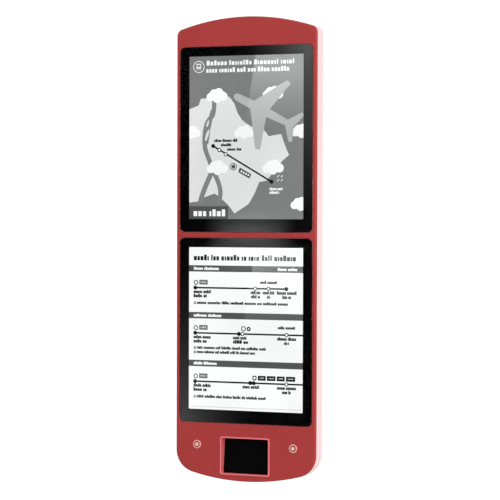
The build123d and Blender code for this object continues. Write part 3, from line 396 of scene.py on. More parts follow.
def strip(mesh, line, x, thickness):
    """A thin web of paper or sheet, x wide, that follows a line of (y, z) points."""
    rings = []
    for number, point in enumerate(line):
        before = Vector(line[max(number - 1, 0)])
        after = Vector(line[min(number + 1, len(line) - 1)])
        along = (after - before).normalized()
        off = Vector((-along.y, along.x)) * thickness / 2
        middle = Vector(point)
        corners = [(x[0], middle + off), (x[1], middle + off), (x[1], middle - off), (x[0], middle - off)]
        rings.append([mesh.verts.new((cx, *spot)) for cx, spot in corners])
    for ring, following in zip(rings, rings[1:]):
        for side in range(4):
            other = (side + 1) % 4
            mesh.faces.new((ring[side], ring[other], following[other], following[side]))
    mesh.faces.new(rings[0])
    mesh.faces.new(reversed(rings[-1]))


nip = (roller_middle.y + roller_radius + NIP_GAP, roller_middle.z)
tail = [(roll_middle.y - roll_radius * math.cos(math.radians(a)) - PAPER_THICKNESS,
         roll_middle.z + roll_radius * math.sin(math.radians(a))) for a in (60, 40, 20, 0)]
leaves_y, leaves_z = tail[-1]
for share in (0.35, 0.7, 1.0):
    bow = math.sin(math.pi * share) * TAIL_BOW
    tail.append((leaves_y + (nip[0] - leaves_y) * share - bow, leaves_z + (nip[1] - leaves_z) * share))
tail.append((nip[0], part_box("cutter_blade")[1].z + CUT_GAP))
web = bmesh.new()
strip(web, tail, (roll_low.x, roll_high.x), PAPER_THICKNESS)
paper_tail = new_piece("paper_tail", web, "cabinet", paper_white)

# ---- hinge and screws ----------------------------------------------------------------------
# A knuckled steel hinge joins the front to the box along the top. Its screws, the panel's and
# the displays' nuts are bright plated.
bright = finish("bright plated screws", "#CDD0D2", 0.18, metallic=1.0, fine=900.0, depth=0.000002,
                wear_and_highlight_colour="#9A9792")
dress(bright, "box_leaf_screws", "door_leaf_screws", "panel_screws", "bracket_nuts")

# ---- door seal and side frame --------------------------------------------------------------
# A foam strip seals the front to the box. The casing band round the edge is formed sheet,
# stove enamelled in off-white; its pink tint is painted reflection of the red front.
foam = finish("open cell foam", "#262627", 0.9, fine=1600.0, depth=0.0001, mottle=0.4, specular=0.2)
side_enamel_painted_pink = finish("off-white enamel with painted pink reflection", "#F0CECC", 0.34, fine=700.0, depth=0.000008, mottle=0.02,
                     wear_and_highlight_colour="#E4CFCC", dust=0.15, specular=0.3)
dress(foam, "door_seal")
dress(side_enamel_painted_pink, "side_frame")

# ---- front panel ---------------------------------------------------------------------------
# One moulded panel with an arched top and foot and softly rounded edges, in satin red lacquer.
# It carries both displays, the outlet and the locks.
red_lacquer = finish("satin red lacquer", "#A63938", 0.38, fine=520.0, depth=0.000012, mottle=0.035,
                     wear_and_highlight_colour="#B24C49", wear_and_highlight_radius=0.0012, dust=0.03, specular=0.14)
dress(red_lacquer, "front_panel")

# ---- displays ------------------------------------------------------------------------------
# Each display is a steel-backed case with its own driver board, held to the panel by a bracket
# down each side.
case_steel = finish("display case steel", "#A8ABAD", 0.34, metallic=1.0, fine=300.0, stretch=(0.05, 1.0, 1.0),
                    depth=0.000004, wear_and_highlight_colour="#C9CBCC", dust=0.2)
dress(case_steel, "upper_display_case", "lower_display_case")
driver_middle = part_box("upper_driver_board")[0].y + BOARD_SHEET / 2
dress(circuit_board("display driver board", driver_middle), "upper_driver_board", "lower_driver_board")

# ---- pictures ------------------------------------------------------------------------------
# What the lit displays show: a map with a route above, three route lines below, and blocks for
# words. Each tone is a thin layer in front of the panel, in millimetres from the panel's middle.
DOT_PITCH = 0.000255
LAYER = 0.00006
GLOW = 1.12
SCREEN_BORDER = 0.002
upper_low, upper_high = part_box("upper_screen")
lower_low, lower_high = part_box("lower_screen")
WIDE = ((upper_high.x - upper_low.x) / 2 - SCREEN_BORDER) * 1000
TALL = ((upper_high.z - upper_low.z) / 2 - SCREEN_BORDER) * 1000
screen_face = -upper_low.y
upper_middle = (upper_low.z + upper_high.z) / 2
lower_middle = (lower_low.z + lower_high.z) / 2


def make_dot_grid():
    """The fine dark lines between a display's dots, and a faint unevenness of its backlight."""
    tree, given, result = new_group(
        "dot grid", [("Colour", "NodeSocketColor", (1, 1, 1, 1))], [("Colour", "NodeSocketColor")])
    place = tree.nodes.new("ShaderNodeTexCoord")
    parts = tree.nodes.new("ShaderNodeSeparateXYZ")
    tree.links.new(place.outputs["Object"], parts.inputs[0])
    lines = []
    for axis in ("X", "Z"):
        wave = sums(tree, "PINGPONG", parts.outputs[axis], DOT_PITCH / 2)
        lines.append(spread(tree, wave, 0.0, DOT_PITCH * 0.12, 0.8, 1.0))
    gaps = sums(tree, "MULTIPLY", *lines)
    backlight = spread(tree, noise(tree, place.outputs["Object"], 5.0, 1.0), 0.3, 0.7, 0.95, 1.05)
    lit = sums(tree, "MULTIPLY", gaps, backlight)
    tinted = tree.nodes.new("ShaderNodeVectorMath")
    tinted.operation = "SCALE"
    tree.links.new(given.outputs["Colour"], tinted.inputs[0])
    tree.links.new(lit, tinted.inputs["Scale"])
    tree.links.new(tinted.outputs[0], result.inputs["Colour"])
    return tree


DOT_GRID = make_dot_grid()


def lit_tone(name, colour):
    """One tone of a lit picture."""
    material = bpy.data.materials.new(name)
    material.use_nodes = True
    tree = material.node_tree
    shader = tree.nodes["Principled BSDF"]
    grid = place_group(tree, DOT_GRID, Colour=tint(colour))
    tree.links.new(grid.outputs["Colour"], shader.inputs["Emission Color"])
    shader.inputs["Emission Strength"].default_value = GLOW
    shader.inputs["Base Color"].default_value = (0.01, 0.01, 0.01, 1.0)
    shader.inputs["Roughness"].default_value = 0.5
    shader.inputs["Specular IOR Level"].default_value = 0.05
    return material


def slab(mesh, outline, back, front):
    """A flat closed shape between two depths, from its outline in X and Z."""
    far = [mesh.verts.new((x, -back, z)) for x, z in outline]
    near = [mesh.verts.new((x, -front, z)) for x, z in outline]
    mesh.faces.new(near)
    mesh.faces.new(reversed(far))
    for one in range(len(outline)):
        other = (one + 1) % len(outline)
        mesh.faces.new((near[one], near[other], far[other], far[one]))


def print_layer(name, outlines, level, material, middle):
    """One thin layer of a picture, at its level in front of the screen."""
    mesh = bmesh.new()
    for outline in outlines:
        spots = [(x / 1000, middle + z / 1000) for x, z in outline]
        slab(mesh, spots, screen_face + LAYER * level, screen_face + LAYER * (level + 1))
    piece = new_piece(name, mesh, "front_door", material)


def oblong(x, z, width, height):
    """An upright oblong from its lower left corner."""
    return [(x, z), (x + width, z), (x + width, z + height), (x, z + height)]


def disc(x, z, radius, points=28):
    """A round spot, as an outline."""
    turns = [2 * math.pi * k / points for k in range(points)]
    return [(x + radius * math.cos(turn), z + radius * math.sin(turn)) for turn in turns]


def bar(start, end, width):
    """A straight line of a given width, as an outline."""
    along = (Vector(end) - Vector(start)).normalized() * width / 2
    off = Vector((-along.y, along.x))
    return [tuple(Vector(p) + s * off) for p, s in ((start, 1), (start, -1), (end, -1), (end, 1))]


LETTER_WIDTHS = (0.3, 0.5, 0.54, 0.6)
LETTER_HEIGHTS = (1.0, 1.0, 1.0, 1.36)
WORD_SPACE = 0.34


def words(x, z, height, reach, lengths, seed, gap=0.05):
    """A row of unreadable words that fills a reach: blocks of letter width, some of them taller."""
    draw = random.Random(seed)
    letters = []
    run = 0.0
    for length in lengths:
        for _ in range(length):
            wide = draw.choice(LETTER_WIDTHS)
            letters.append((run, wide, draw.choice(LETTER_HEIGHTS)))
            run += wide + gap
        run += WORD_SPACE
    stretch = reach / (run - gap - WORD_SPACE)
    return [oblong(x + start * stretch, z, wide * stretch, height * tall) for start, wide, tall in letters]


CURVE_STEPS = 5


def rounded(points):
    """A closed smooth outline through the points."""
    line = []
    count = len(points)
    for k in range(count):
        a, b, c, d = (Vector(points[(k + j) % count]) for j in (-1, 0, 1, 2))
        for step in range(CURVE_STEPS):
            t = step / CURVE_STEPS
            line.append(tuple(0.5 * (2 * b + (c - a) * t + (2 * a - 5 * b + 4 * c - d) * t * t
                                     + (3 * b - a - 3 * c + d) * t * t * t)))
    return line


PUFFS = ((-0.62, -0.05, 0.36), (-0.28, 0.2, 0.42), (0.16, 0.26, 0.46), (0.58, 0.0, 0.4), (0.0, -0.16, 0.4))


def cloud(x, z, size, points=56):
    """A cloud: the outline round five overlapping puffs."""
    line = []
    for k in range(points):
        angle = 2 * math.pi * k / points
        way = Vector((math.cos(angle), math.sin(angle)))
        reach = 0.2
        for px, pz, radius in PUFFS:
            nearest = way.x * px + way.y * pz
            gap = radius**2 - (px * px + pz * pz - nearest**2)
            if gap > 0:
                reach = max(reach, nearest + math.sqrt(gap))
        line.append((x + way.x * reach * size, z + way.y * reach * size))
    return line


def kept_inside(outline):
    """Trim an outline to the screen, side by side."""
    for axis, side, limit in ((0, 1, WIDE), (0, -1, WIDE), (1, 1, TALL), (1, -1, TALL)):
        trimmed = []
        for k, here in enumerate(outline):
            before = outline[k - 1]
            inside, was_inside = here[axis] * side <= limit, before[axis] * side <= limit
            if inside != was_inside:
                share = (limit * side - before[axis]) / (here[axis] - before[axis])
                trimmed.append(tuple(b + (h - b) * share for b, h in zip(before, here)))
            if inside:
                trimmed.append(here)
        outline = trimmed
    return outline


def upper_layer(name, outlines, level, material):
    """One layer of the map, trimmed to the screen."""
    shapes = [kept_inside(outline) for outline in outlines]
    shown = [shape for shape in shapes if len(shape) > 2]
    print_layer(name, shown, level, material, upper_middle)


def lower_layer(name, outlines, level, material):
    """One layer of the route lines."""
    print_layer(name, outlines, level, material, lower_middle)


sea_grey = lit_tone("picture sea", "#7F7F7F")
land_grey = lit_tone("picture land", "#E7E7E7")
river_grey = lit_tone("picture river", "#868686")
mid_grey = lit_tone("picture aircraft", "#B9B9B9")
panel_grey = lit_tone("picture panel", "#545454")
tag_grey = lit_tone("picture tag", "#707070")
ink = lit_tone("picture ink", "#111111")
white = lit_tone("picture white", "#FFFFFF")
faint = lit_tone("picture faint line", "#D2D2D2")

upper_layer("upper_picture_sea", [oblong(-WIDE, -TALL, 2 * WIDE, 2 * TALL)], 0, sea_grey)
coast = [(-160, 70), (-128, 81), (-122, 98), (-100, 99), (-86, 106), (-58, 108), (-42, 99), (-31, 84),
         (-22, 60), (-10, 43), (2, 34), (19, 25), (45, 22), (61, 2), (94, 7), (104, -20), (115, -45),
         (97, -60), (78, -82), (56, -108), (36, -112), (24, -140), (8, -166), (-30, -190), (-46, -170),
         (-66, -152), (-84, -140), (-112, -150), (-130, -160), (-160, -164)]
upper_layer("upper_picture_land", [coast], 1, land_grey)


def stream(points, width):
    """A river's outline along a smooth line. The two spans that would close the line are left off."""
    line = rounded(points)[:-2 * CURVE_STEPS]
    left = []
    right = []
    for k, here in enumerate(line):
        along = Vector(line[min(k + 1, len(line) - 1)]) - Vector(line[max(k - 1, 0)])
        off = Vector((-along.y, along.x)).normalized() * width / 2
        left.append(tuple(Vector(here) + off))
        right.append(tuple(Vector(here) - off))
    return left + right[::-1]


main_river = [(-84, 98), (-88, 60), (-104, 38), (-111, 8), (-110, -26), (-98, -58), (-86, -88), (-84, -94),
              (-84, -98)]
west_branch = [(-90, -84), (-104, -112), (-116, -140), (-120, -152), (-124, -166), (-126, -168)]
east_branch = [(-88, -88), (-74, -112), (-68, -136), (-70, -152), (-70, -164), (-70, -166)]
narrows = [(-90, 66), (-96, 44), (-101, 22), (-104, 0), (-108, -20), (-111, -38)]
upper_layer("upper_picture_river", [stream(main_river, 12), stream(west_branch, 13), stream(east_branch, 12)],
            2, river_grey)
upper_layer("upper_picture_narrows", [stream(narrows, 11)], 3, river_grey)
islands = [rounded([(-107, 28), (-103, 41), (-99, 43), (-102, 30)]),
           rounded([(-110, -4), (-106, 12), (-98, 21), (-101, 6), (-107, -8)])]
upper_layer("upper_picture_islands", islands, 4, land_grey)
clouds = [cloud(x, z, size) for x, z, size in (
    (-78, 103, 29), (72, 106, 28), (-5, 11, 27), (-148, 12, 26), (148, 12, 28), (-77, -77, 29), (73, -77, 29),
    (146, -168, 27))]
upper_layer("upper_picture_clouds", clouds, 3, white)


def aircraft(nose, heading, length):
    """A plain airliner from above: body, swept wings and tailplane, pointing along its heading."""
    half = [(0.0, 0.0), (0.01, 0.030), (0.05, 0.050), (0.30, 0.060), (0.61, 0.52), (0.68, 0.50),
            (0.56, 0.060), (0.86, 0.042), (1.0, 0.22), (1.05, 0.20), (0.98, 0.0)]
    outline = half + [(along, -across) for along, across in half[::-1][1:-1]]
    turn = Matrix.Rotation(math.radians(heading), 2)
    return [tuple(Vector(nose) - turn @ Vector((along * length, across * length)))
            for along, across in outline]


upper_layer("upper_picture_aircraft", [aircraft((-32, 105), 153.5, 182.0)], 4, mid_grey)
ROUTE_WIDTH = 4.2
STOP_RADIUS = 5.2
STOP_HOLLOW = 3.0
NAME_HEIGHT = 5.4
route_ends = ((-88, -21), (69, -111))
stops = [(-71, -31), (-54, -42)]
route = [bar(*route_ends, ROUTE_WIDTH)] + [disc(*stop, STOP_RADIUS) for stop in (*route_ends, *stops)]
stop_names = (words(-85, -11, NAME_HEIGHT, 62, (5, 6, 3), 3) + words(-67, -22, NAME_HEIGHT, 28, (7,), 5)
              + words(-50, -33, NAME_HEIGHT, 38, (5, 3), 7))
upper_layer("upper_picture_route", route + stop_names, 5, ink)
upper_layer("upper_picture_stops", [disc(*stop, STOP_HOLLOW) for stop in stops], 6, white)
tag = [(-16, -75), (-20, -87), (10, -103), (15, -92)]
upper_layer("upper_picture_tags", [disc(-33, -73, 9.4), tag, oblong(-WIDE, -TALL, 106, 32)], 4, panel_grey)
heading = (words(-106, 181, 8.8, 234, (6, 8, 8, 5), 11, 0.2)
           + words(-107, 163, 8.8, 222, (4, 6, 3, 3, 4, 6), 13, 0.2))
foot_words = words(-141, -197, 12.6, 86, (3, 4), 17, 0.2)
end_names = words(64, -132, 5.0, 34, (6, 5), 19) + words(64, -141, 5.0, 26, (7, 1), 23)
sparks = [bar((84 + dx, -100 + dz), (89 + dx, -95 + dz), 1.8) for dx in (0, 10) for dz in (0, -10)]
tag_bars = [bar((-13.4 + 6.2 * k, -84.0 - 3.1 * k), (-9.6 + 6.2 * k, -85.9 - 3.1 * k), 4.6) for k in range(4)]
upper_layer("upper_picture_white_words", heading + foot_words + end_names + sparks + tag_bars, 5, white)
upper_layer("upper_picture_badge_ring", [disc(-127.5, 178, 15.0, 40)], 1, white)
upper_layer("upper_picture_badge_field", [disc(-127.5, 178, 13.4, 40)], 2, sea_grey)
upper_layer("upper_picture_badge_sign", [oblong(-133.5, 172, 12, 14)], 3, white)
upper_layer("upper_picture_badge_panes", [oblong(-131.8, 178, 8.6, 5.5), oblong(-131.8, 173.6, 8.6, 1.6)],
            4, sea_grey)
upper_layer("upper_picture_stop_badge", [disc(-33, -73, 7.4)], 5, land_grey)
upper_layer("upper_picture_stop_sign", [disc(-33, -73, 5.2)], 6, panel_grey)

lower_layer("lower_picture_white", [oblong(-WIDE, -TALL, 2 * WIDE, 2 * TALL)], 0, white)

# Each band: its top, and its words as (left end, reach, lengths).
BAND_HEIGHT = 16.0
BANDS = (
    (158.5, ((-140, 68, (6, 9)), (86, 52, (5, 5)))),
    (40.5, ((-140, 75, (7, 8)),)),
    (-80, ((-140, 63, (5, 9)),)),
)
BAND_WORDS_DROP = 11.5
bands = []
band_words = []
for number, (top, rows) in enumerate(BANDS):
    bands.append(oblong(-WIDE, top - BAND_HEIGHT, 2 * WIDE, BAND_HEIGHT))
    for x, reach, lengths in rows:
        band_words += words(x, top - BAND_WORDS_DROP, NAME_HEIGHT, reach, lengths, 31 + number)
lower_layer("lower_picture_bands", bands, 1, panel_grey)
lower_layer("lower_picture_band_words", band_words, 2, white)
lower_layer("lower_picture_heading", words(-140, 171, 10.5, 274, (5, 3, 6, 2, 4, 4, 7), 41, 0.13), 1, ink)

# Each route: its level, how far it reaches, filled stops, open stops, labels as (middle, first
# row's reach, second row's reach), and notes as (height, reach).
ROUTE_START = -136
FIRST_ROW = 14
SECOND_ROW = 24.5
LABEL_HEIGHT = 6.4
ROUTES = (
    (102, 109, (-136, 109), (26.5, 61.5),
     ((-117, 47, 36), (27, 26, 24), (62, 31, 9), (110, 52, 23)), ((61, 244),)),
    (-12, 153, (-136, -17), (-7.5, 110),
     ((-117, 47, 36), (-13, 36, 40), (110, 50, 13)), ((-52, 186), (-63, 157))),
    (-134, 153, (-136, 13.5, 23), (110,),
     ((-117, 47, 36), (15, 44, 0), (110, 50, 23)), ((-175, 186),)),
)
route_ink = []
hollow = []
tags = []
tag_words = []
for number, (level, end, filled, open_stops, labels, notes) in enumerate(ROUTES):
    route_ink.append(bar((ROUTE_START, level), (end, level), ROUTE_WIDTH))
    route_ink += [disc(x, level, STOP_RADIUS) for x in filled + open_stops]
    hollow += [disc(x, level, STOP_HOLLOW) for x in open_stops]
    for spot, (middle, first, second) in enumerate(labels):
        left = middle - max(first, second) / 2
        seed = 10 * number + spot
        route_ink += words(left, level - FIRST_ROW, LABEL_HEIGHT, first, (6, 6), 50 + seed)
        if second:
            indent = 0 if spot == 0 else (max(first, second) - second) / 2
            route_ink += words(left + indent, level - SECOND_ROW, LABEL_HEIGHT, second, (4, 2), 80 + seed)
    for spot, (z, reach) in enumerate(notes):
        seed = 120 + 3 * number + spot
        route_ink += words(-131, z, NAME_HEIGHT, reach, (5, 8, 4, 7, 6, 3, 8, 5), seed)
        route_ink.append(disc(-136.5, z + 2.6, 3.6))
        hollow.append(disc(-136.5, z + 2.6, 1.6))
    tags += [disc(-134, level + 13, 6.4), oblong(-125, level + 8, 23, 12)]
    tag_words += words(-121, level + 12.6, 2.4, 14, (4,), 90 + number, 0.4)
    hollow.append(disc(-134, level + 13, 3.6))
route_ink += words(39, 114, 5.6, 45, (4, 6), 101) + words(87, 2, 5.6, 45, (4, 6), 103)
route_ink += [disc(-5, 1, 6.5), disc(9, 1, 5.6), disc(25, -121, 6.2)]
hollow += [disc(-5, 1, 4.2), disc(9, 1, 2.0), disc(25, -121, 3.2)]
for x, reach in ((34, 21), (58, 23), (84.5, 21), (109, 24)):
    route_ink.append(oblong(x, -127, reach, 12))
    tag_words += words(x + 5, -122.2, 2.2, reach - 10, (4,), 110 + int(x), 0.5)
lower_layer("lower_picture_routes", route_ink, 1, ink)
lower_layer("lower_picture_tags", tags, 1, tag_grey)
lower_layer("lower_picture_hollow_stops", hollow, 2, white)
lower_layer("lower_picture_tag_words", tag_words, 2, white)
lower_layer("lower_picture_foot_line", [oblong(-148, -198, 296, 1.6)], 1, faint)


# ---- cover glasses -------------------------------------------------------------------------
# Each display is bonded behind 4 mm tempered glass with polished arrises. The border is black
# ink printed on the back of the glass.
GLASS_CORNER = 0.014
CORNER_STEPS = 10
GLASS_ARRIS = 0.0007
BOND_GAP = 0.00005


def glass_pane(name, node):
    """One round-cornered pane in the place of its node."""
    low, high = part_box(node)
    left, right = low.x + GLASS_CORNER, high.x - GLASS_CORNER
    foot, top = low.z + GLASS_CORNER, high.z - GLASS_CORNER
    outline = []
    for cx, cz, start in ((right, top, 0), (left, top, 90), (left, foot, 180), (right, foot, 270)):
        for step in range(CORNER_STEPS + 1):
            angle = math.radians(start + 90 * step / CORNER_STEPS)
            outline.append((cx + GLASS_CORNER * math.cos(angle), cz + GLASS_CORNER * math.sin(angle)))
    mesh = bmesh.new()
    slab(mesh, outline, -high.y + BOND_GAP, -low.y)
    pane = new_piece(name, mesh, "front_door", cover_glass, bevel=GLASS_ARRIS)
    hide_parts(node)


cover_glass = bpy.data.materials.new("tempered cover glass")
cover_glass.use_nodes = True
glass_tree = cover_glass.node_tree
glass_shader = glass_tree.nodes["Principled BSDF"]
glass_shader.inputs["Transmission Weight"].default_value = 1.0
glass_shader.inputs["IOR"].default_value = 1.5
smears = place_group(glass_tree, SURFACE_GRAIN, Fine=260.0, Broad=9.0)
smeared = spread(glass_tree, smears.outputs["Blotch"], 0.45, 0.8, 0.0, 0.05)
glass_tree.links.new(smeared, glass_shader.inputs["Roughness"])
glass_tint = blend_colours(glass_tree, smears.outputs["Grain"], tint("#FAFDFC"), tint("#FDFEFE"))
glass_tree.links.new(glass_tint, glass_shader.inputs["Base Color"])
glass_pane("upper_cover_glass", "upper_glass")
glass_pane("lower_cover_glass", "lower_glass")
black_border = finish("black printed border", "#050506", 0.5, fine=1500.0, depth=0.000001, mottle=0.1,
                      specular=0.1)
dress(black_border, "upper_glass_bond", "lower_glass_bond", "upper_screen", "lower_screen")

# ---- ticket outlet -------------------------------------------------------------------------
# A red moulded surround is pressed into the panel; its red lighter than the panel's and its pale pink
# edges are painted highlight. Its black flap hangs from a steel pin behind it and swings in; the folded
# tray that catches the ticket is black.
red_moulding_painted_highlight = finish("red moulding with painted highlight", "#EC7074", 0.22, fine=800.0, depth=0.000006, mottle=0.03,
                    wear_and_highlight_colour="#F0A8A8", wear_and_highlight_radius=0.0012, coat=0.4, coat_roughness=0.15)
# The flap and tray are darker and less glossy than the black plastic elsewhere: black plastic, with painted
# shade of the outlet's opening.
flap_black_painted_shade = finish("matt black flap with painted shade", "#030303", 0.6, fine=1400.0, depth=0.00002, mottle=0.2, specular=0.05)
dress(red_moulding_painted_highlight, "outlet_bezel")
dress(flap_black_painted_shade, "outlet_flap", "outlet_tray")

# ---- key locks -----------------------------------------------------------------------------
# Two tubular cam locks in nickel plate, tinted pink as painted reflection of the red front. The ring keyway
# round each plug's middle post is dark brown as painted shade, and seven small brass pins stand at its
# bottom.
POST_RADIUS = 0.0050
PIN_CIRCLE = 0.0064
PIN_RADIUS = 0.0007
PIN_LENGTH = 0.0016
PIN_DEPTH = 0.0061
PIN_COUNT = 7
nickel = finish("satin nickel with painted pink reflection", "#FFAAA4", 0.34, metallic=0.35, fine=900.0, depth=0.000003, mottle=0.04)
dress(nickel, "left_lock_barrel", "right_lock_barrel")


def plug_with_painted_keyway_shade(name, low, high):
    """Nickel tinted pink as painted reflection, which turns dark brown below the face and outside the middle
    post as painted shade of the keyway. It serves both plugs.
    """
    material = finish(name, "#FFC4BE", 0.34, metallic=0.35, fine=900.0, depth=0.000003, mottle=0.04)
    tree = material.node_tree
    shader = tree.nodes["Principled BSDF"]
    plating = shader.inputs["Base Color"].links[0].from_socket
    axes = tree.nodes.new("ShaderNodeSeparateXYZ")
    tree.links.new(tree.nodes.new("ShaderNodeTexCoord").outputs["Object"], axes.inputs[0])
    middle = (low + high) / 2
    sideways = sums(tree, "SUBTRACT", sums(tree, "ABSOLUTE", axes.outputs["X"]), middle.x)
    upwards = sums(tree, "SUBTRACT", axes.outputs["Z"], middle.z)
    square = sums(tree, "MULTIPLY_ADD", sideways, sideways, sums(tree, "MULTIPLY", upwards, upwards))
    off_post = spread(tree, sums(tree, "SQRT", square), POST_RADIUS, POST_RADIUS + 0.0002)
    sunk = spread(tree, axes.outputs["Y"], low.y + 0.0004, low.y + 0.0012)
    keyway_painted_shade = sums(tree, "MAXIMUM", sunk, off_post)
    tree.links.new(blend_colours(tree, keyway_painted_shade, plating, tint("#5A2220")), shader.inputs["Base Color"])
    return material


plug_nickel = plug_with_painted_keyway_shade("plug with painted keyway shade", *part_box("right_lock_plug"))
dress(plug_nickel, "left_lock_plug", "right_lock_plug")
for side in ("left", "right"):
    low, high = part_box(side + "_lock_plug")
    middle = (low + high) / 2
    ring_pins = bmesh.new()
    for number in range(PIN_COUNT):
        angle = 2 * math.pi * number / PIN_COUNT + math.pi / 2
        spot = Matrix.Translation((middle.x + PIN_CIRCLE * math.cos(angle), low.y + PIN_DEPTH,
                                   middle.z + PIN_CIRCLE * math.sin(angle)))
        bmesh.ops.create_cone(ring_pins, cap_ends=True, segments=16, radius1=PIN_RADIUS, radius2=PIN_RADIUS,
                              depth=PIN_LENGTH, matrix=spot @ Matrix.Rotation(math.pi / 2, 4, "X"))
    pins = new_piece(side + "_lock_pins", ring_pins, side + "_lock", brass, bevel=0.00015)

# ---- studio --------------------------------------------------------------------------------
# A pale floor well below the machine, an even white surround, a large soft lamp to the right
# and one above. A card to the left front shows in the cover glasses and polished metal.
FLOOR_RADIUS = 4.2
FLOOR_DROP = 0.85
floor_mesh = bmesh.new()
bmesh.ops.create_circle(floor_mesh, cap_ends=True, segments=96, radius=FLOOR_RADIUS,
                        matrix=Matrix.Translation((0, 0, cad_box[0].z - FLOOR_DROP)))
floor_data = bpy.data.meshes.new("floor")
floor_mesh.to_mesh(floor_data)
floor_mesh.free()
floor = bpy.data.objects.new("floor", floor_data)
bpy.context.scene.collection.objects.link(floor)
floor_data.materials.append(finish("pale floor", "#F2F2F1", 0.6, fine=60.0, depth=0.0001, mottle=0.02))

SKY_STRENGTH = 0.78
SKY_BEHIND = 0.35
world = bpy.data.worlds.new("studio")
bpy.context.scene.world = world
world.use_nodes = True
sky = world.node_tree
sky_light = sky.nodes["Background"]
seen = sky.nodes.new("ShaderNodeLightPath")
strength = sums(sky, "MULTIPLY_ADD", seen.outputs["Is Camera Ray"], SKY_BEHIND, SKY_STRENGTH)
sky.links.new(strength, sky_light.inputs["Strength"])
sky_light.inputs["Color"].default_value = (1.0, 1.0, 1.0, 1.0)


def soft_lamp(name, place, aim, size, power):
    """An oblong area lamp that lights the machine and isn't seen itself."""
    lamp_data = bpy.data.lights.new(name, "AREA")
    lamp_data.shape = "RECTANGLE"
    lamp_data.size, lamp_data.size_y = size
    lamp_data.energy = power
    lamp = bpy.data.objects.new(name, lamp_data)
    bpy.context.scene.collection.objects.link(lamp)
    lamp.location = place
    lamp.rotation_mode = "QUATERNION"
    lamp.rotation_quaternion = (Vector(aim) - Vector(place)).to_track_quat("-Z", "Y")
    lamp.visible_camera = False


soft_lamp("right lamp", (3.2, -1.6, 0.8), (0.1, -0.1, 0.0), (1.6, 2.4), 60.0)
soft_lamp("top lamp", (-0.4, -1.8, 3.0), (0.0, -0.1, 0.0), (2.0, 1.2), 14.0)

CARD_DISTANCE = 1.5
CARD_WIDTH = 1.0
CARD_TOP = 0.53
CARD_FOOT = -0.445
glass_face = -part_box("upper_glass")[0].y
camera_gap = -camera.location.y - glass_face
card_scale = 1 + CARD_DISTANCE / camera_gap


def reflection_card():
    """A card that the camera sees only by way of the glass. Its units are metres on the machine's front."""
    mesh = bmesh.new()
    slab(mesh, oblong(-CARD_WIDTH / 2, CARD_FOOT, CARD_WIDTH, CARD_TOP - CARD_FOOT), 0.0, 0.001)
    data = bpy.data.meshes.new("reflection card")
    mesh.to_mesh(data)
    mesh.free()
    card = bpy.data.objects.new("reflection card", data)
    bpy.context.scene.collection.objects.link(card)
    card.location = (-camera.location.x * (card_scale - 1), -glass_face - CARD_DISTANCE,
                     -camera.location.z * (card_scale - 1))
    card.scale = (card_scale,) * 3
    card.visible_camera = False
    card.visible_diffuse = False
    card.visible_shadow = False
    data.materials.append(card_glow())


def ramp(tree, value, start, end, power):
    """Nothing at the start, one at the end, rising by a power between them."""
    share = tree.nodes.new("ShaderNodeMapRange")
    tree.links.new(value, share.inputs["Value"])
    share.inputs["From Min"].default_value = start
    share.inputs["From Max"].default_value = end
    return sums(tree, "POWER", share.outputs["Result"], power)


# Two blobs between the glasses: height, half thickness, strength. Two slanted panes: head, foot,
# where each is brightest, where it has faded, strength.
BLOBS = ((0.058, 0.045, 0.46), (0.004, 0.075, 0.66))
BLOB_MIDDLE = 0.013
BLOB_REACH = 0.13
PANES = ((0.483, 0.30, 0.44, 0.30, 2.4), (0.004, -0.22, 0.0, -0.24, 2.6))
PANE_SLANT = -0.16
PANE_LEFT = 0.0185
PANE_RIGHT = 0.1515
PANE_PIVOT = 0.041


def blob(tree, across, up, height, thick):
    """How near a spot is to a blob's middle, from 0 at its edge to 1."""
    sideways = sums(tree, "MULTIPLY", sums(tree, "SUBTRACT", across, BLOB_MIDDLE), 1 / BLOB_REACH)
    upwards = sums(tree, "MULTIPLY", sums(tree, "SUBTRACT", up, height), 1 / thick)
    away = sums(tree, "ADD", sums(tree, "POWER", sideways, 2.0), sums(tree, "POWER", upwards, 2.0))
    return spread(tree, away, 0.0, 1.0, 1.0, 0.0)


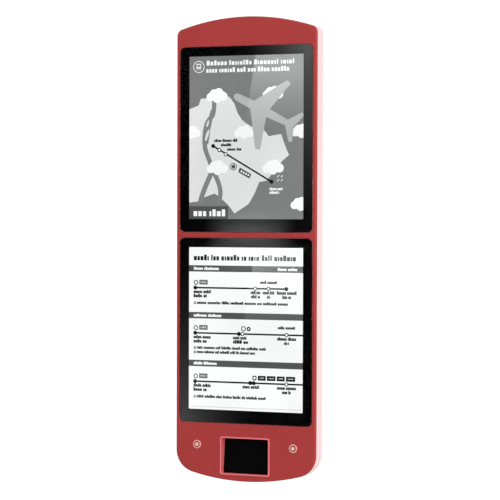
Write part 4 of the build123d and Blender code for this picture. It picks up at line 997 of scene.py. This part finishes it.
def slanted_pane(tree, across, up, head, foot, bright, faded):
    """A pane with a slanted left edge, which fades towards its foot and to the right."""
    slant = sums(tree, "MULTIPLY_ADD", sums(tree, "SUBTRACT", up, head - PANE_PIVOT), PANE_SLANT, across)
    sides = sums(tree, "MULTIPLY", spread(tree, slant, PANE_LEFT, PANE_LEFT + 0.0025),
                 spread(tree, across, PANE_RIGHT, PANE_RIGHT + 0.002, 1.0, 0.0))
    ends = sums(tree, "MULTIPLY", spread(tree, up, head, head + 0.001, 1.0, 0.0),
                spread(tree, up, foot, foot - 0.001, 1.0, 0.0))
    fade = sums(tree, "MULTIPLY", ramp(tree, up, faded, bright, 1.4), ramp(tree, across, 0.45, 0.0, 1.0))
    return sums(tree, "MULTIPLY", sums(tree, "MULTIPLY", sides, ends), fade)


def card_glow():
    """Black, with a soft glow towards two corners, blobs between the glasses and a pane in each."""
    material = bpy.data.materials.new("reflection card")
    material.use_nodes = True
    tree = material.node_tree
    tree.nodes.remove(tree.nodes["Principled BSDF"])
    parts = tree.nodes.new("ShaderNodeSeparateXYZ")
    tree.links.new(tree.nodes.new("ShaderNodeTexCoord").outputs["Object"], parts.inputs[0])
    across, up = parts.outputs["X"], parts.outputs["Z"]
    top_right = sums(tree, "MULTIPLY", ramp(tree, across, -0.02, 0.16, 2.0), ramp(tree, up, 0.02, 0.50, 1.9))
    foot_left = sums(tree, "MULTIPLY", ramp(tree, across, 0.03, -0.165, 2.0),
                     ramp(tree, up, 0.02, -0.43, 2.2))
    glow = sums(tree, "MULTIPLY_ADD", foot_left, 0.66, sums(tree, "MULTIPLY", top_right, 1.1))
    for height, thick, amount in BLOBS:
        glow = sums(tree, "MULTIPLY_ADD", blob(tree, across, up, height, thick), amount, glow)
    for *place, amount in PANES:
        glow = sums(tree, "MULTIPLY_ADD", slanted_pane(tree, across, up, *place), amount, glow)
    light = tree.nodes.new("ShaderNodeEmission")
    tree.links.new(glow, light.inputs["Strength"])
    tree.links.new(light.outputs[0], tree.nodes["Material Output"].inputs["Surface"])
    return material


reflection_card()
bpy.context.scene.view_settings.view_transform = "Standard"
